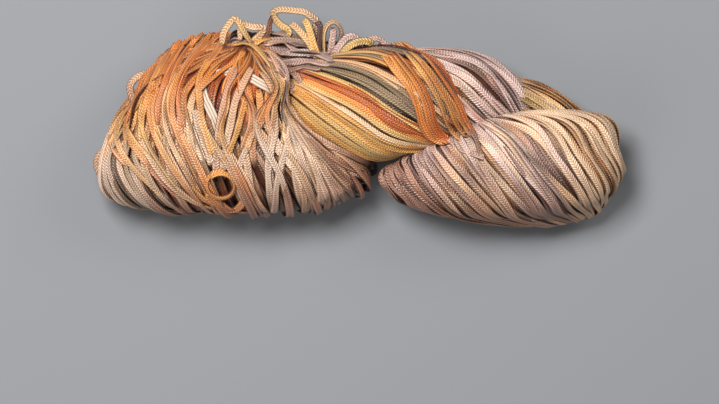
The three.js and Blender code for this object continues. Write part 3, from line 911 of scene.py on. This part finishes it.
RIGHT_FAN = [
    (0.04, "pale rose", 1.0), (0.11, "beige", 0.98), (0.17, "pale rose", 1.0), (0.23, "beige", 0.96),
    (0.29, "pale rose", 1.0), (0.34, "beige", 0.97), (0.40, "pale rose", 1.0), (0.45, "mauve", 0.98),
    (0.51, "beige", 0.95), (0.56, "rose brown", 1.0), (0.61, "beige", 0.98), (0.66, "mauve", 0.94),
    (0.71, "rose brown", 1.0), (0.76, "beige", 0.97), (0.81, "mauve", 1.0), (0.85, "rose brown", 0.95),
    (0.90, "beige", 1.0), (0.94, "gold", 0.97), (1.0, "rose brown", 0.98),
]
ROUTE_STEPS = 48  # sections of a laid tape
FRONT_EDGE = -47.0  # laid tapes stay behind this y, mm
EDGE_HEIGHT = ([5, 20], [20, 36])  # from y = 5 to y = 20 the lobes' widest part rises from 20 to 36 mm
DIP_SHARE = 0.13  # share of a laid tape's length over which it dips at each end
END_DIP = 9.0  # how deep its far end dips, mm
EASE_POINTS = 3  # neighbours to each side whose heights are averaged
OWN_DYE = 0.5  # what a laid tape's own dye counts against that of the patches it crosses


def smooth_route(points, steps=ROUTE_STEPS):
    """Catmull-Rom through the points, read at even shares of their number."""
    return catmull_rom(points, np.linspace(0, 1, steps))


def family(guides, table):
    """Each route lies between its two nearest guides, a + (b - a) * share, read up to its end."""
    routes = []
    for share, _, end in table:
        lines = [catmull_rom(guide, np.linspace(0, end, ROUTE_STEPS)) for guide in guides]
        first = min(int(share * (len(guides) - 1)), len(guides) - 2)
        between = share * (len(guides) - 1) - first
        routes.append(lines[first] + (lines[first + 1] - lines[first]) * between)
    return routes


def ease(values, width):
    """The mean of each value and its neighbours within the width, with the ends repeated."""
    padded = np.pad(values, ((0, 0), (width, width)), mode="edge")
    kernel = np.ones(2 * width + 1) / (2 * width + 1)
    return np.array([np.convolve(row, kernel, mode="valid") for row in padded])


def smooth_step(share):
    """3 share^2 - 2 share^3, which starts and ends level."""
    return share * share * (3 - 2 * share)


def laid_tapes(plans, lifts, start_dip):
    """z = eased height of the lobes + lift - a dip at each end. Past the edge of a lobe a tape goes
    no lower than the lobes' widest part, which is higher at the back."""
    x = plans[..., 0]
    y = np.maximum(plans[..., 1], FRONT_EDGE)
    lowest = np.interp(y, *EDGE_HEIGHT)
    run = np.linspace(0, 1, plans.shape[1])
    rise = smooth_step(np.clip(run / DIP_SHARE, 0, 1))
    fall = smooth_step(np.clip((1 - run) / DIP_SHARE, 0, 1))
    dip = start_dip * (1 - rise) + END_DIP * (1 - fall)
    z = np.maximum(ease(top_at(x, y), EASE_POINTS), lowest) + lifts - dip
    return np.stack([x, y, z], -1), top_normal(x, y)


def over_tapes(plans, dyes, wide, roll, start_dip, drift, lobe, seed, lifts=(0.5, 1.3)):
    """Tapes on the given routes, shifted sideways by waves, narrower at both ends, each half its
    own dye and half the dye of the patches that it crosses."""
    rng = np.random.default_rng(seed)
    plans = np.array(plans)
    tapes, steps = plans.shape[:2]
    across = unit(np.gradient(plans, axis=1))[..., ::-1] * np.array([1.0, -1.0])
    plans = plans + across * (drift * wander(rng, tapes, steps, (0.3, 1.2)))[..., None]
    lift = rng.uniform(*lifts, (tapes, 1)) + 0.4 * wander(rng, tapes, steps, (0.5, 1.5))
    path, face = laid_tapes(plans, lift, start_dip)
    swell = 1 + 0.07 * wander(rng, tapes, steps, (1, 4))
    tips = 0.6 + 0.4 * from_ends(np.linspace(0, 1, steps), 0.12)
    width = np.array(wide)[:, None] * swell * tips
    lean = np.radians(roll)[:, None] * (1 + 0.8 * wander(rng, tapes, steps, (0.5, 2)))
    shade = np.exp(0.08 * wander(rng, tapes, steps, (1, 5)))[..., None]
    crossed = patch_dye(lobe, path, rng, 0.5)
    dye = OWN_DYE * lights_of(dyes) * shade + (1 - OWN_DYE) * crossed
    return sweep(path, face, width, np.full(width.shape, TAPE_THICK), lean), dye


route_dyes, route_wide, route_roll, route_points = zip(*OVER_ROUTES.values())
routes = [smooth_route(points) for points in route_points]
yarn_pieces.append(tape_mesh("stray_tapes", *over_tapes(
    routes, route_dyes, route_wide, route_roll, start_dip=7.0, drift=0.3, lobe="crown fan", seed=7)))
# Name, guides, table, width, roll, dip at the start, drift, lobe whose patches it reads, lifts
FAMILIES = [
    ("band_tapes", BAND_GUIDES, BAND, 3.5, 12, 5.0, 0.5, "front spindle", (0.5, 1.3)),
    ("curtain_tapes", CURTAIN_GUIDES, CURTAIN, 3.3, 30, 5.0, 1.2, "crown fan", (0.3, 2.2)),
    ("right_fan_tapes", RIGHT_GUIDES, RIGHT_FAN, 3.4, 16, 7.0, 0.6, "crown fan", (0.0, 1.0)),
]
for number, (name, guides, table, wide, roll, start_dip, drift, lobe, lifts) in enumerate(FAMILIES):
    dyes = [dye for _, dye, _ in table]
    points, dye = over_tapes(family(guides, table), dyes, [wide] * len(table), [roll] * len(table),
                             start_dip, drift, lobe, 8 + number, lifts)
    yarn_pieces.append(tape_mesh(name, points, dye))

# %% [markdown]
# ## Loose loops
# Behind the crown some tapes spring up in free loops, others lie in petals over the neck, and a strand
# feeds the curl. Their lines are listed points, from yarn back into yarn. The dye and the roll
# of each run evenly from its start to its end, so a loop can turn from its broad side to its edge.

# %% Loops
# Dye at the start and at the end, width, roll at the start and at the end in degrees from lying
# flat, then the points x, y, z
LOOPS = {
    "top arch": ("gold", "mauve", 3.9, 25, 15, [
        (-35.4, 40.8, 41), (-35.5, 43.7, 41.5), (-39.5, 46.2, 42), (-42.5, 49.7, 43.5),
        (-42.7, 52.4, 44.5), (-39.4, 53.7, 45.5), (-33.3, 53.2, 46), (-27.7, 52.4, 45.5),
        (-23.3, 49.6, 44.5), (-21.6, 47.5, 43.5), (-22.8, 42.5, 42), (-23.3, 39.3, 41),
        (-23.5, 32.8, 39)]),
    "petal left": ("beige", "gold", 4.0, 10, 25, [
        (-34.3, 46.6, 44), (-31.8, 44.8, 46), (-28.3, 41.0, 47), (-25.3, 37.0, 47), (-22.9, 33.1, 46),
        (-20.4, 27.7, 43)]),
    "petal right": ("gold", "amber", 4.0, -10, 5, [
        (-27.9, 48.6, 44), (-26.1, 46.0, 46), (-24.6, 41.5, 47), (-23.4, 37.0, 47), (-22.1, 33.1, 46),
        (-19.9, 27.7, 43)]),
    "plum petal": ("plum", "plum", 3.2, 30, 30, [
        (-22.4, 48.6, 43), (-19.9, 45.6, 44.5), (-20.4, 38.6, 45.5), (-20.4, 32.6, 45),
        (-19.4, 27.3, 42)]),
    "inner petal": ("mauve", "mauve", 3.8, 10, 10, [
        (-13.5, 44.7, 42), (-13.4, 42.1, 43.5), (-13.9, 38.1, 44), (-14.4, 34.2, 43.5),
        (-15.5, 28.8, 41)]),
    "gold petal": ("gold", "olive gold", 4.0, 15, 15, [
        (-14.0, 23.8, 42), (-10.5, 28.5, 44.5), (-7.7, 33.5, 45), (-2.7, 36.9, 44), (2.3, 38.1, 42),
        (5.6, 36.8, 40), (6.0, 32.0, 35)]),
    "standing loop": ("gold", "mauve", 3.2, 60, 40, [
        (-17.4, 26.8, 41), (-17.7, 31.9, 43), (-18.0, 39.1, 44), (-17.4, 43.6, 45), (-15.5, 46.5, 46),
        (-12.7, 47.4, 46), (-10.2, 45.2, 45), (-9.1, 42.4, 43.5), (-9.5, 40.2, 42), (-11.0, 34.9, 38)]),
    "leaning loop": ("mauve", "pale mauve", 4.0, 15, 20, [
        (-16.4, 25.8, 42), (-13.3, 30.8, 44), (-10.5, 35.2, 45), (-6.6, 39.7, 43.5), (-3.3, 40.3, 42),
        (-1.0, 37.8, 40), (-1.0, 32.0, 35)]),
    "small loop": ("mauve", "mauve", 3.2, 30, 30, [
        (2.0, 34.0, 36), (3.9, 38.8, 37), (7.3, 39.7, 37), (10.6, 38.8, 36.5), (12.9, 36.1, 36),
        (13.5, 33.0, 34)]),
    "crown loop": ("beige", "gold", 3.9, 20, 60, [
        (-68.5, 36.4, 49), (-67.8, 41.1, 50), (-65.9, 44.9, 50), (-62.8, 48.6, 49.5),
        (-60.1, 47.2, 49), (-58.5, 43.9, 48.5), (-56.2, 40.1, 48), (-54.3, 36.8, 47),
        (-54.2, 31.6, 45)]),
    "crown fold": ("beige", "beige", 3.9, 40, 10, [
        (-59.6, 38.5, 47), (-58.7, 46.0, 46.5), (-53.7, 45.0, 46.5), (-48.2, 44.5, 46),
        (-49.7, 41.1, 45.5), (-52.7, 38.1, 45), (-54.8, 32.7, 43)]),
    "dark strand": ("brown", "dark mauve", 3.0, 40, 30, [
        (-42.8, 51.6, 43), (-44.8, 47.1, 44), (-45.5, 41.9, 44), (-48.3, 38.6, 44), (-51.8, 34.7, 43)]),
    "side loop": ("rose brown", "beige", 3.8, 20, 20, [
        (-99.0, -1.0, 40), (-106.0, 2.5, 37), (-112.5, 8.5, 36), (-115.0, 15.0, 35),
        (-112.0, 20.0, 35), (-106.0, 21.5, 36), (-97.0, 15.0, 38)]),
    "tip loop": ("rose brown", "beige", 3.8, 20, 20, [
        (-120.0, -34.0, 24), (-126.0, -31.0, 24), (-131.0, -27.0, 25), (-132.0, -21.0, 25),
        (-128.5, -16.0, 26), (-121.0, -14.0, 28), (-116.0, -13.0, 29)]),
    "feed of the curl": ("orange", "amber", 3.6, 10, 25, [
        (-71.0, -2.6, 64), (-68.0, -6.5, 63.5), (-65.1, -10.0, 63), (-63.2, -12.9, 61),
        (-64.7, -17.3, 59), (-67.2, -21.2, 58)]),
    "strand in the curl": ("deep orange", "deep orange", 2.6, 10, 10, [
        (-63.1, -9.5, 64), (-64.2, -14.4, 61), (-66.2, -18.8, 58.5)]),
}


def loop_tapes():
    """Catmull-Rom lines through the loops' points. Dye and roll run from start + (end - start) *
    share of the way along, and the ends are narrower."""
    rng = np.random.default_rng(11)
    dyes, end_dyes, wide, rolls, end_rolls, lines = zip(*LOOPS.values())
    path = np.array([smooth_route(points) for points in lines])
    tapes, steps = path.shape[:2]
    run = np.linspace(0, 1, steps)
    face = np.zeros(path.shape)
    face[..., 2] = 1.0
    width = np.array(wide)[:, None] * (0.7 + 0.3 * from_ends(run, 0.1))
    first_roll = np.radians(rolls)[:, None]
    last_roll = np.radians(end_rolls)[:, None]
    lean = first_roll + (last_roll - first_roll) * run + 0.12 * wander(rng, tapes, steps, (0.5, 2))
    shade = np.exp(0.06 * wander(rng, tapes, steps, (1, 5)))[..., None]
    first_dye = lights_of(dyes)
    dye = (first_dye + (lights_of(end_dyes) - first_dye) * run[:, None]) * shade
    return sweep(path, face, width, np.full(width.shape, TAPE_THICK), lean), dye


yarn_pieces.append(tape_mesh("loose_loops", *loop_tapes()))

# %% [markdown]
# ## The curl
# One orange tape curls into a ring on the front of the fan. It could be a full circle, but the real
# one passes its own start, so it is an ellipse that climbs a little, in a plane that leans with the
# yarn under it. The tape's broad side leans half outward and half up, so that it shows from above.

# %% Curl
CURL_CENTRE = np.array([-69.0, -33.5, 54.8])
CURL_ACROSS = 6.9  # half the ring's width, mm
CURL_DOWN = 8.2  # half its length down the slope of the fan, mm
CURL_TILT = np.radians(40.0)
CURL_TURNS = (0.2, 1.36)
CURL_CLIMB = (-0.6, 1.3)  # from the start to the end of the ring, mm
CURL_UP = np.array([0.0, 0.0, 1.1])  # how much the broad side faces up, against 1 outward
CURL_WIDTH = 2.9  # mm
CURL_THICK = 1.5  # mm


def curl_tape():
    """Centre + (across cos a, down sin a, climb) turned about X by the tilt, for one turn and a bit.
    The broad side faces (outward + up), made one long."""
    turn = np.linspace(*CURL_TURNS, ROUTE_STEPS * 2) * 2 * np.pi
    flat_x = CURL_ACROSS * np.cos(turn)
    flat_y = CURL_DOWN * np.sin(turn)
    climb = np.linspace(*CURL_CLIMB, len(turn))
    turned = np.stack([flat_x, flat_y * np.cos(CURL_TILT) - climb * np.sin(CURL_TILT),
                       flat_y * np.sin(CURL_TILT) + climb * np.cos(CURL_TILT)], -1)
    path = (CURL_CENTRE + turned)[None]
    face = unit(unit(path - CURL_CENTRE) + CURL_UP)
    wide = np.full(path.shape[:2], CURL_WIDTH)
    dye = np.broadcast_to(0.7 * DYE_LIGHT["amber"] + 0.3 * DYE_LIGHT["orange"], path.shape)
    return sweep(path, face, wide, np.full(wide.shape, CURL_THICK), np.zeros(wide.shape)), dye


yarn_pieces.append(tape_mesh("curl", *curl_tape()))

# %% [markdown]
# ## The tie
# The tie is three smooth cotton cords side by side, closed in a ring round part of the loops. The ring
# follows the points of the solid part, and the cords run beside each other across its width.

# %% Tie cords
TIE_CORDS = 3
TIE_CORD = 1.6  # thickness of one cord, mm
TIE_SPACE = 0.92  # distance between cords, in thicknesses, as they press on each other
TIE_HEART = np.array([-62.0, 5.0, 45.0])  # the middle of the ring, mm
TIE_FACING = np.array([0.15, 0.15, 1.0])  # how much each axis counts in the way out of the heart


def tie_tapes():
    """Centre line + side * (0, +-1) cord spaces, where side lies across the route and square to
    out, which points from the heart of the ring, mostly up or down."""
    centre = smooth_route(TIE_ROUTE, 90)
    tangent = unit(np.gradient(centre, axis=0))
    out = unit((centre - TIE_HEART) * TIE_FACING)
    side = unit(np.cross(tangent, out))
    offsets = (np.arange(TIE_CORDS) - (TIE_CORDS - 1) / 2) * TIE_CORD * TIE_SPACE
    path = centre[None] + side[None] * offsets[:, None, None]
    face = np.broadcast_to(out, path.shape)
    flat = np.full(path.shape[:2], TIE_CORD)
    dye = np.ones(path.shape)
    return sweep(path, face, flat, flat, np.zeros(flat.shape), (ROUND_ACROSS, ROUND_UP)), dye


tie = tape_mesh("tie_cords", *tie_tapes())

# %% [markdown]
# ## Shader maths
# A material is a small network of nodes. To write its maths as ordinary Python, one class wraps a
# socket and turns + - * / and ** into Math nodes. Colours are scaled with Vector Math, because a Math
# node would turn them grey.

# %% A socket that can be added and multiplied
class Sum:
    """A number in a node tree. An expression on it adds the Math nodes that work it out."""

    def __init__(self, tree, socket):
        self.tree = tree
        self.socket = socket

    def node(self, kind, settings=None, inputs=None):
        """Any node: its type, its settings, then the values or links of its sockets."""
        made = self.tree.nodes.new(kind)
        for key, value in (settings or {}).items():
            setattr(made, key, value)
        for key, value in (inputs or {}).items():
            source = value.socket if isinstance(value, Sum) else value
            if isinstance(source, bpy.types.NodeSocket):
                self.tree.links.new(source, made.inputs[key])
            else:
                made.inputs[key].default_value = source
        return made

    def math(self, operation, *values):
        """One Math node on the given numbers."""
        made = self.node("ShaderNodeMath", {"operation": operation}, dict(enumerate(values)))
        return Sum(self.tree, made.outputs[0])

    def __add__(self, other):
        return self.math("ADD", self, other)

    def __sub__(self, other):
        return self.math("SUBTRACT", self, other)

    def __rsub__(self, other):
        return self.math("SUBTRACT", other, self)

    def __mul__(self, other):
        return self.math("MULTIPLY", self, other)

    def __truediv__(self, other):
        return self.math("DIVIDE", self, other)

    def __pow__(self, other):
        return self.math("POWER", self, other)

    __radd__ = __add__
    __rmul__ = __mul__


def new_material(name, roughness, sheen=0.0):
    """A material with one Principled shader, and the wrapper that adds its other nodes."""
    material = bpy.data.materials.new(name)
    material.use_nodes = True
    shader = material.node_tree.nodes["Principled BSDF"]
    shader.inputs["Roughness"].default_value = roughness
    shader.inputs["Sheen Weight"].default_value = sheen
    return material, shader, Sum(material.node_tree, None)


def tape_map(make):
    """The two numbers of the map 'tape': share of the way round, and millimetres along."""
    place = make.node("ShaderNodeUVMap", {"uv_map": "tape"})
    parts = make.node("ShaderNodeSeparateXYZ", None, {0: place.outputs[0]})
    return Sum(make.tree, parts.outputs[0]), Sum(make.tree, parts.outputs[1])


def noise(make, scale, detail):
    """A Noise Texture on Object coordinates, with values round 0.5."""
    spot = make.node("ShaderNodeTexCoord").outputs["Object"]
    made = make.node("ShaderNodeTexNoise", None, {"Vector": spot, "Scale": scale, "Detail": detail})
    return Sum(make.tree, made.outputs[0])


def raised(make, shader, height, strength, distance):
    """A Bump node on the height, into the shader's Normal."""
    values = {"Height": height, "Strength": strength, "Distance": distance}
    bump = make.node("ShaderNodeBump", None, values)
    make.tree.links.new(bump.outputs[0], shader.inputs["Normal"])


# %% [markdown]
# ## Knitted viscose
# The tape is knitted, so each face shows two columns of slanting stitches that meet in a V. They could
# be modelled, but at this size there are many thousands, so they are waves along the tape whose phase
# is shifted by the distance from the middle of the face. The same waves paint shade into the colour
# between stitches and in the furrow, lift the surface a little through a bump, and change how sharply
# it shines. Fine noise breaks the evenness up, as loose fibres do.

# %% Material of the tapes
STITCH = 1.5  # mm of tape for one stitch
SLANT = 1.2  # how many stitches a slanting stitch climbs from the middle of the face to its edge
FIBRE_SCALE = 2600.0  # noise cells in a metre
CLOUD_SCALE = 140.0
STITCH_SHADE = 0.85  # how much lighter the crest of a stitch is painted than the shaded gap beside it
PAINTED_SHADE_DYE = 0.52  # the painted shade between stitches and in the furrow is dye^2 times this
SHINE_TINT = (1.0, 0.94, 0.86, 1.0)
STITCH_RELIEF = 0.0004  # height of the bump, m


def knitted_viscose():
    """Wave = 0.5 + 0.5 cos(2 pi (along / stitch + slant * across)). The furrow is the smaller of
    4 * across and 1, with the corner rounded."""
    material, shader, make = new_material("knitted viscose tape", 0.4, 0.05)
    tree = material.node_tree
    around, along = tape_map(make)
    across = (around * 2).math("FRACT", around * 2) - 0.5
    across = across.math("ABSOLUTE", across) * 2
    phase = (along / STITCH + across * SLANT) * (2 * np.pi)
    wave = phase.math("COSINE", phase) * 0.5 + 0.5
    furrow = across.math("SMOOTH_MIN", across * 4.0, 1.0, 0.4)
    fibre = noise(make, FIBRE_SCALE, 2.0)
    cloud = noise(make, CLOUD_SCALE, 3.0)
    relief = wave * furrow * 0.8 + fibre * 0.4
    # How much painted shade the colour takes: more between stitches and in the furrow, plus random
    # mottling from the fibre and cloud noise
    shade = 0.88 - wave * STITCH_SHADE - furrow * 0.15
    shade = shade + (fibre - 0.5) * 0.8 + (cloud - 0.5) * 0.5
    dye = make.node("ShaderNodeAttribute", {"attribute_name": "dye"}).outputs["Color"]
    # The colour of the painted shade: the dye squared, scaled down
    deep = make.node("ShaderNodeVectorMath", {"operation": "MULTIPLY"}, {0: dye, 1: dye})
    deep = make.node("ShaderNodeVectorMath", {"operation": "SCALE"},
                     {0: deep.outputs[0], "Scale": PAINTED_SHADE_DYE})
    mixed = make.node("ShaderNodeMix", {"data_type": "RGBA"},
                      {"Factor": shade.math("MAXIMUM", shade, 0.0), 6: dye, 7: deep.outputs[0]})
    tree.links.new(mixed.outputs[2], shader.inputs["Base Color"])
    roughness = 0.40 - wave * 0.14 + (cloud - 0.5) * 0.1
    tree.links.new(roughness.socket, shader.inputs["Roughness"])
    shader.inputs["Sheen Roughness"].default_value = 0.4
    shader.inputs["Specular IOR Level"].default_value = 0.75
    shader.inputs["Specular Tint"].default_value = SHINE_TINT
    raised(make, shader, relief, 1.0, STITCH_RELIEF)
    return material


CREAM = (216, 192, 170)
STRANDS = 3  # strands round a cord
STRAND_PITCH = 3.0  # mm along the cord for one wave
CORD_RELIEF = 0.0001  # m


def tie_cotton():
    """A cream cord whose fine strands wind round it: wave = 0.5 + 0.5 cos(2 pi (around * strands +
    along / pitch)). Its flanks are painted darker than its top, as shade, by top = 0.5 + 0.5 sin(2 pi
    around)."""
    material, shader, make = new_material("cream cotton cord", 0.6, 0.1)
    around, along = tape_map(make)
    phase = (around * STRANDS + along / STRAND_PITCH) * (2 * np.pi)
    wave = phase.math("COSINE", phase) * 0.5 + 0.5
    turn = around * (2 * np.pi)
    top = turn.math("SINE", turn) * 0.5 + 0.5
    # Painted shade: a little between the strands, and more on the flanks than on the top
    light = (wave * 0.12 + 0.88) * (top ** 2 * 0.75 + 0.25)
    base = make.node("ShaderNodeCombineXYZ", None, dict(enumerate(linear(CREAM))))
    scaled = make.node("ShaderNodeVectorMath", {"operation": "SCALE"},
                       {0: base.outputs[0], "Scale": light})
    make.tree.links.new(scaled.outputs[0], shader.inputs["Base Color"])
    raised(make, shader, wave, 0.5, CORD_RELIEF)
    return material


SHADE_BROWN = (60, 22, 10)
SHADE_RUST = (98, 44, 20)


def shaded_yarn():
    """A dark brown in streaks: the colour of yarn that hardly any light reaches."""
    material, shader, make = new_material("yarn in the shade", 0.9)
    mix = make.node("ShaderNodeMix", {"data_type": "RGBA"}, {
        "Factor": noise(make, 220.0, 3.0), 6: (*linear(SHADE_BROWN), 1.0),
        7: (*linear(SHADE_RUST), 1.0)})
    make.tree.links.new(mix.outputs[2], shader.inputs["Base Color"])
    return material


viscose = knitted_viscose()
for piece in yarn_pieces:
    piece.data.materials.append(viscose)
tie.data.materials.append(tie_cotton())
core.data.materials.append(shaded_yarn())
print("materials:", [material.name for material in bpy.data.materials])

# %% [markdown]
# ## Surface and light
# The skein lies on a plain pale surface. One broad light from the back left gives the crests their
# shine and the gaps their depth. Two weak ones, from the front left and the back right, and the world
# fill the shadows.

# %% Surface
HALF = 3.0  # half the side of the surface, m
PAPER = (0.212, 0.218, 0.230, 1.0)
surface_mesh = bpy.data.meshes.new("surface")
surface_mesh.from_pydata([(-HALF, -HALF, 0), (HALF, -HALF, 0), (HALF, HALF, 0), (-HALF, HALF, 0)],
                         [], [(0, 1, 2, 3)])
surface = in_scene("surface", surface_mesh)
paper, paper_shader, _ = new_material("pale grey paper", 0.9)
paper_shader.inputs["Base Color"].default_value = PAPER
surface_mesh.materials.append(paper)
surface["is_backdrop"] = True

# %% Lights
# Name, place in metres, watts, side in metres
LIGHTS = [
    ("broad light", (-0.30, 0.35, 1.2), 22.0, 0.45),
    ("weak light", (-0.6, -0.7, 0.8), 4.0, 0.8),
    ("side light", (0.7, 0.5, 0.9), 4.0, 0.5),
]
WORLD_COLOUR = (1.0, 0.95, 0.9, 1.0)
WORLD_STRENGTH = 0.17


def soft_light(name, place, watts, size):
    """A square area light at the place, turned so that its -Z axis points at the skein."""
    data = bpy.data.lights.new(name, "AREA")
    data.energy = watts
    data.size = size
    lamp = in_scene(name, data)
    lamp.location = place
    lamp.rotation_euler = (-lamp.location).to_track_quat("-Z", "Y").to_euler()


for row in LIGHTS:
    soft_light(*row)
world = bpy.data.worlds.new("studio")
world.use_nodes = True
background = world.node_tree.nodes["Background"]
background.inputs["Color"].default_value = WORLD_COLOUR
background.inputs["Strength"].default_value = WORLD_STRENGTH
bpy.context.scene.world = world
bpy.context.scene.view_settings.view_transform = "Standard"
print("lights:", len(bpy.data.lights))

# %% [markdown]
# ## Joining the frame
# Every piece of yarn stands for the solid hank, and the cords stand for the solid tie. All ride on the
# one body. The boxes of the solid part and of the finished skein are kept.

# %% Pieces and nodes
for piece in yarn_pieces + [core]:
    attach(piece, "root")
    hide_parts("hank")
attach(tie, "root")
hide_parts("tie")

shown_low, shown_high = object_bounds()
sizes = {"cad": [list(cad_low), list(cad_high)], "visual": [list(shown_low), list(shown_high)]}
spans = [round((high - low) * 1000, 1) for low, high in zip(shown_low, shown_high)]
print("size of the skein, mm:", spans)
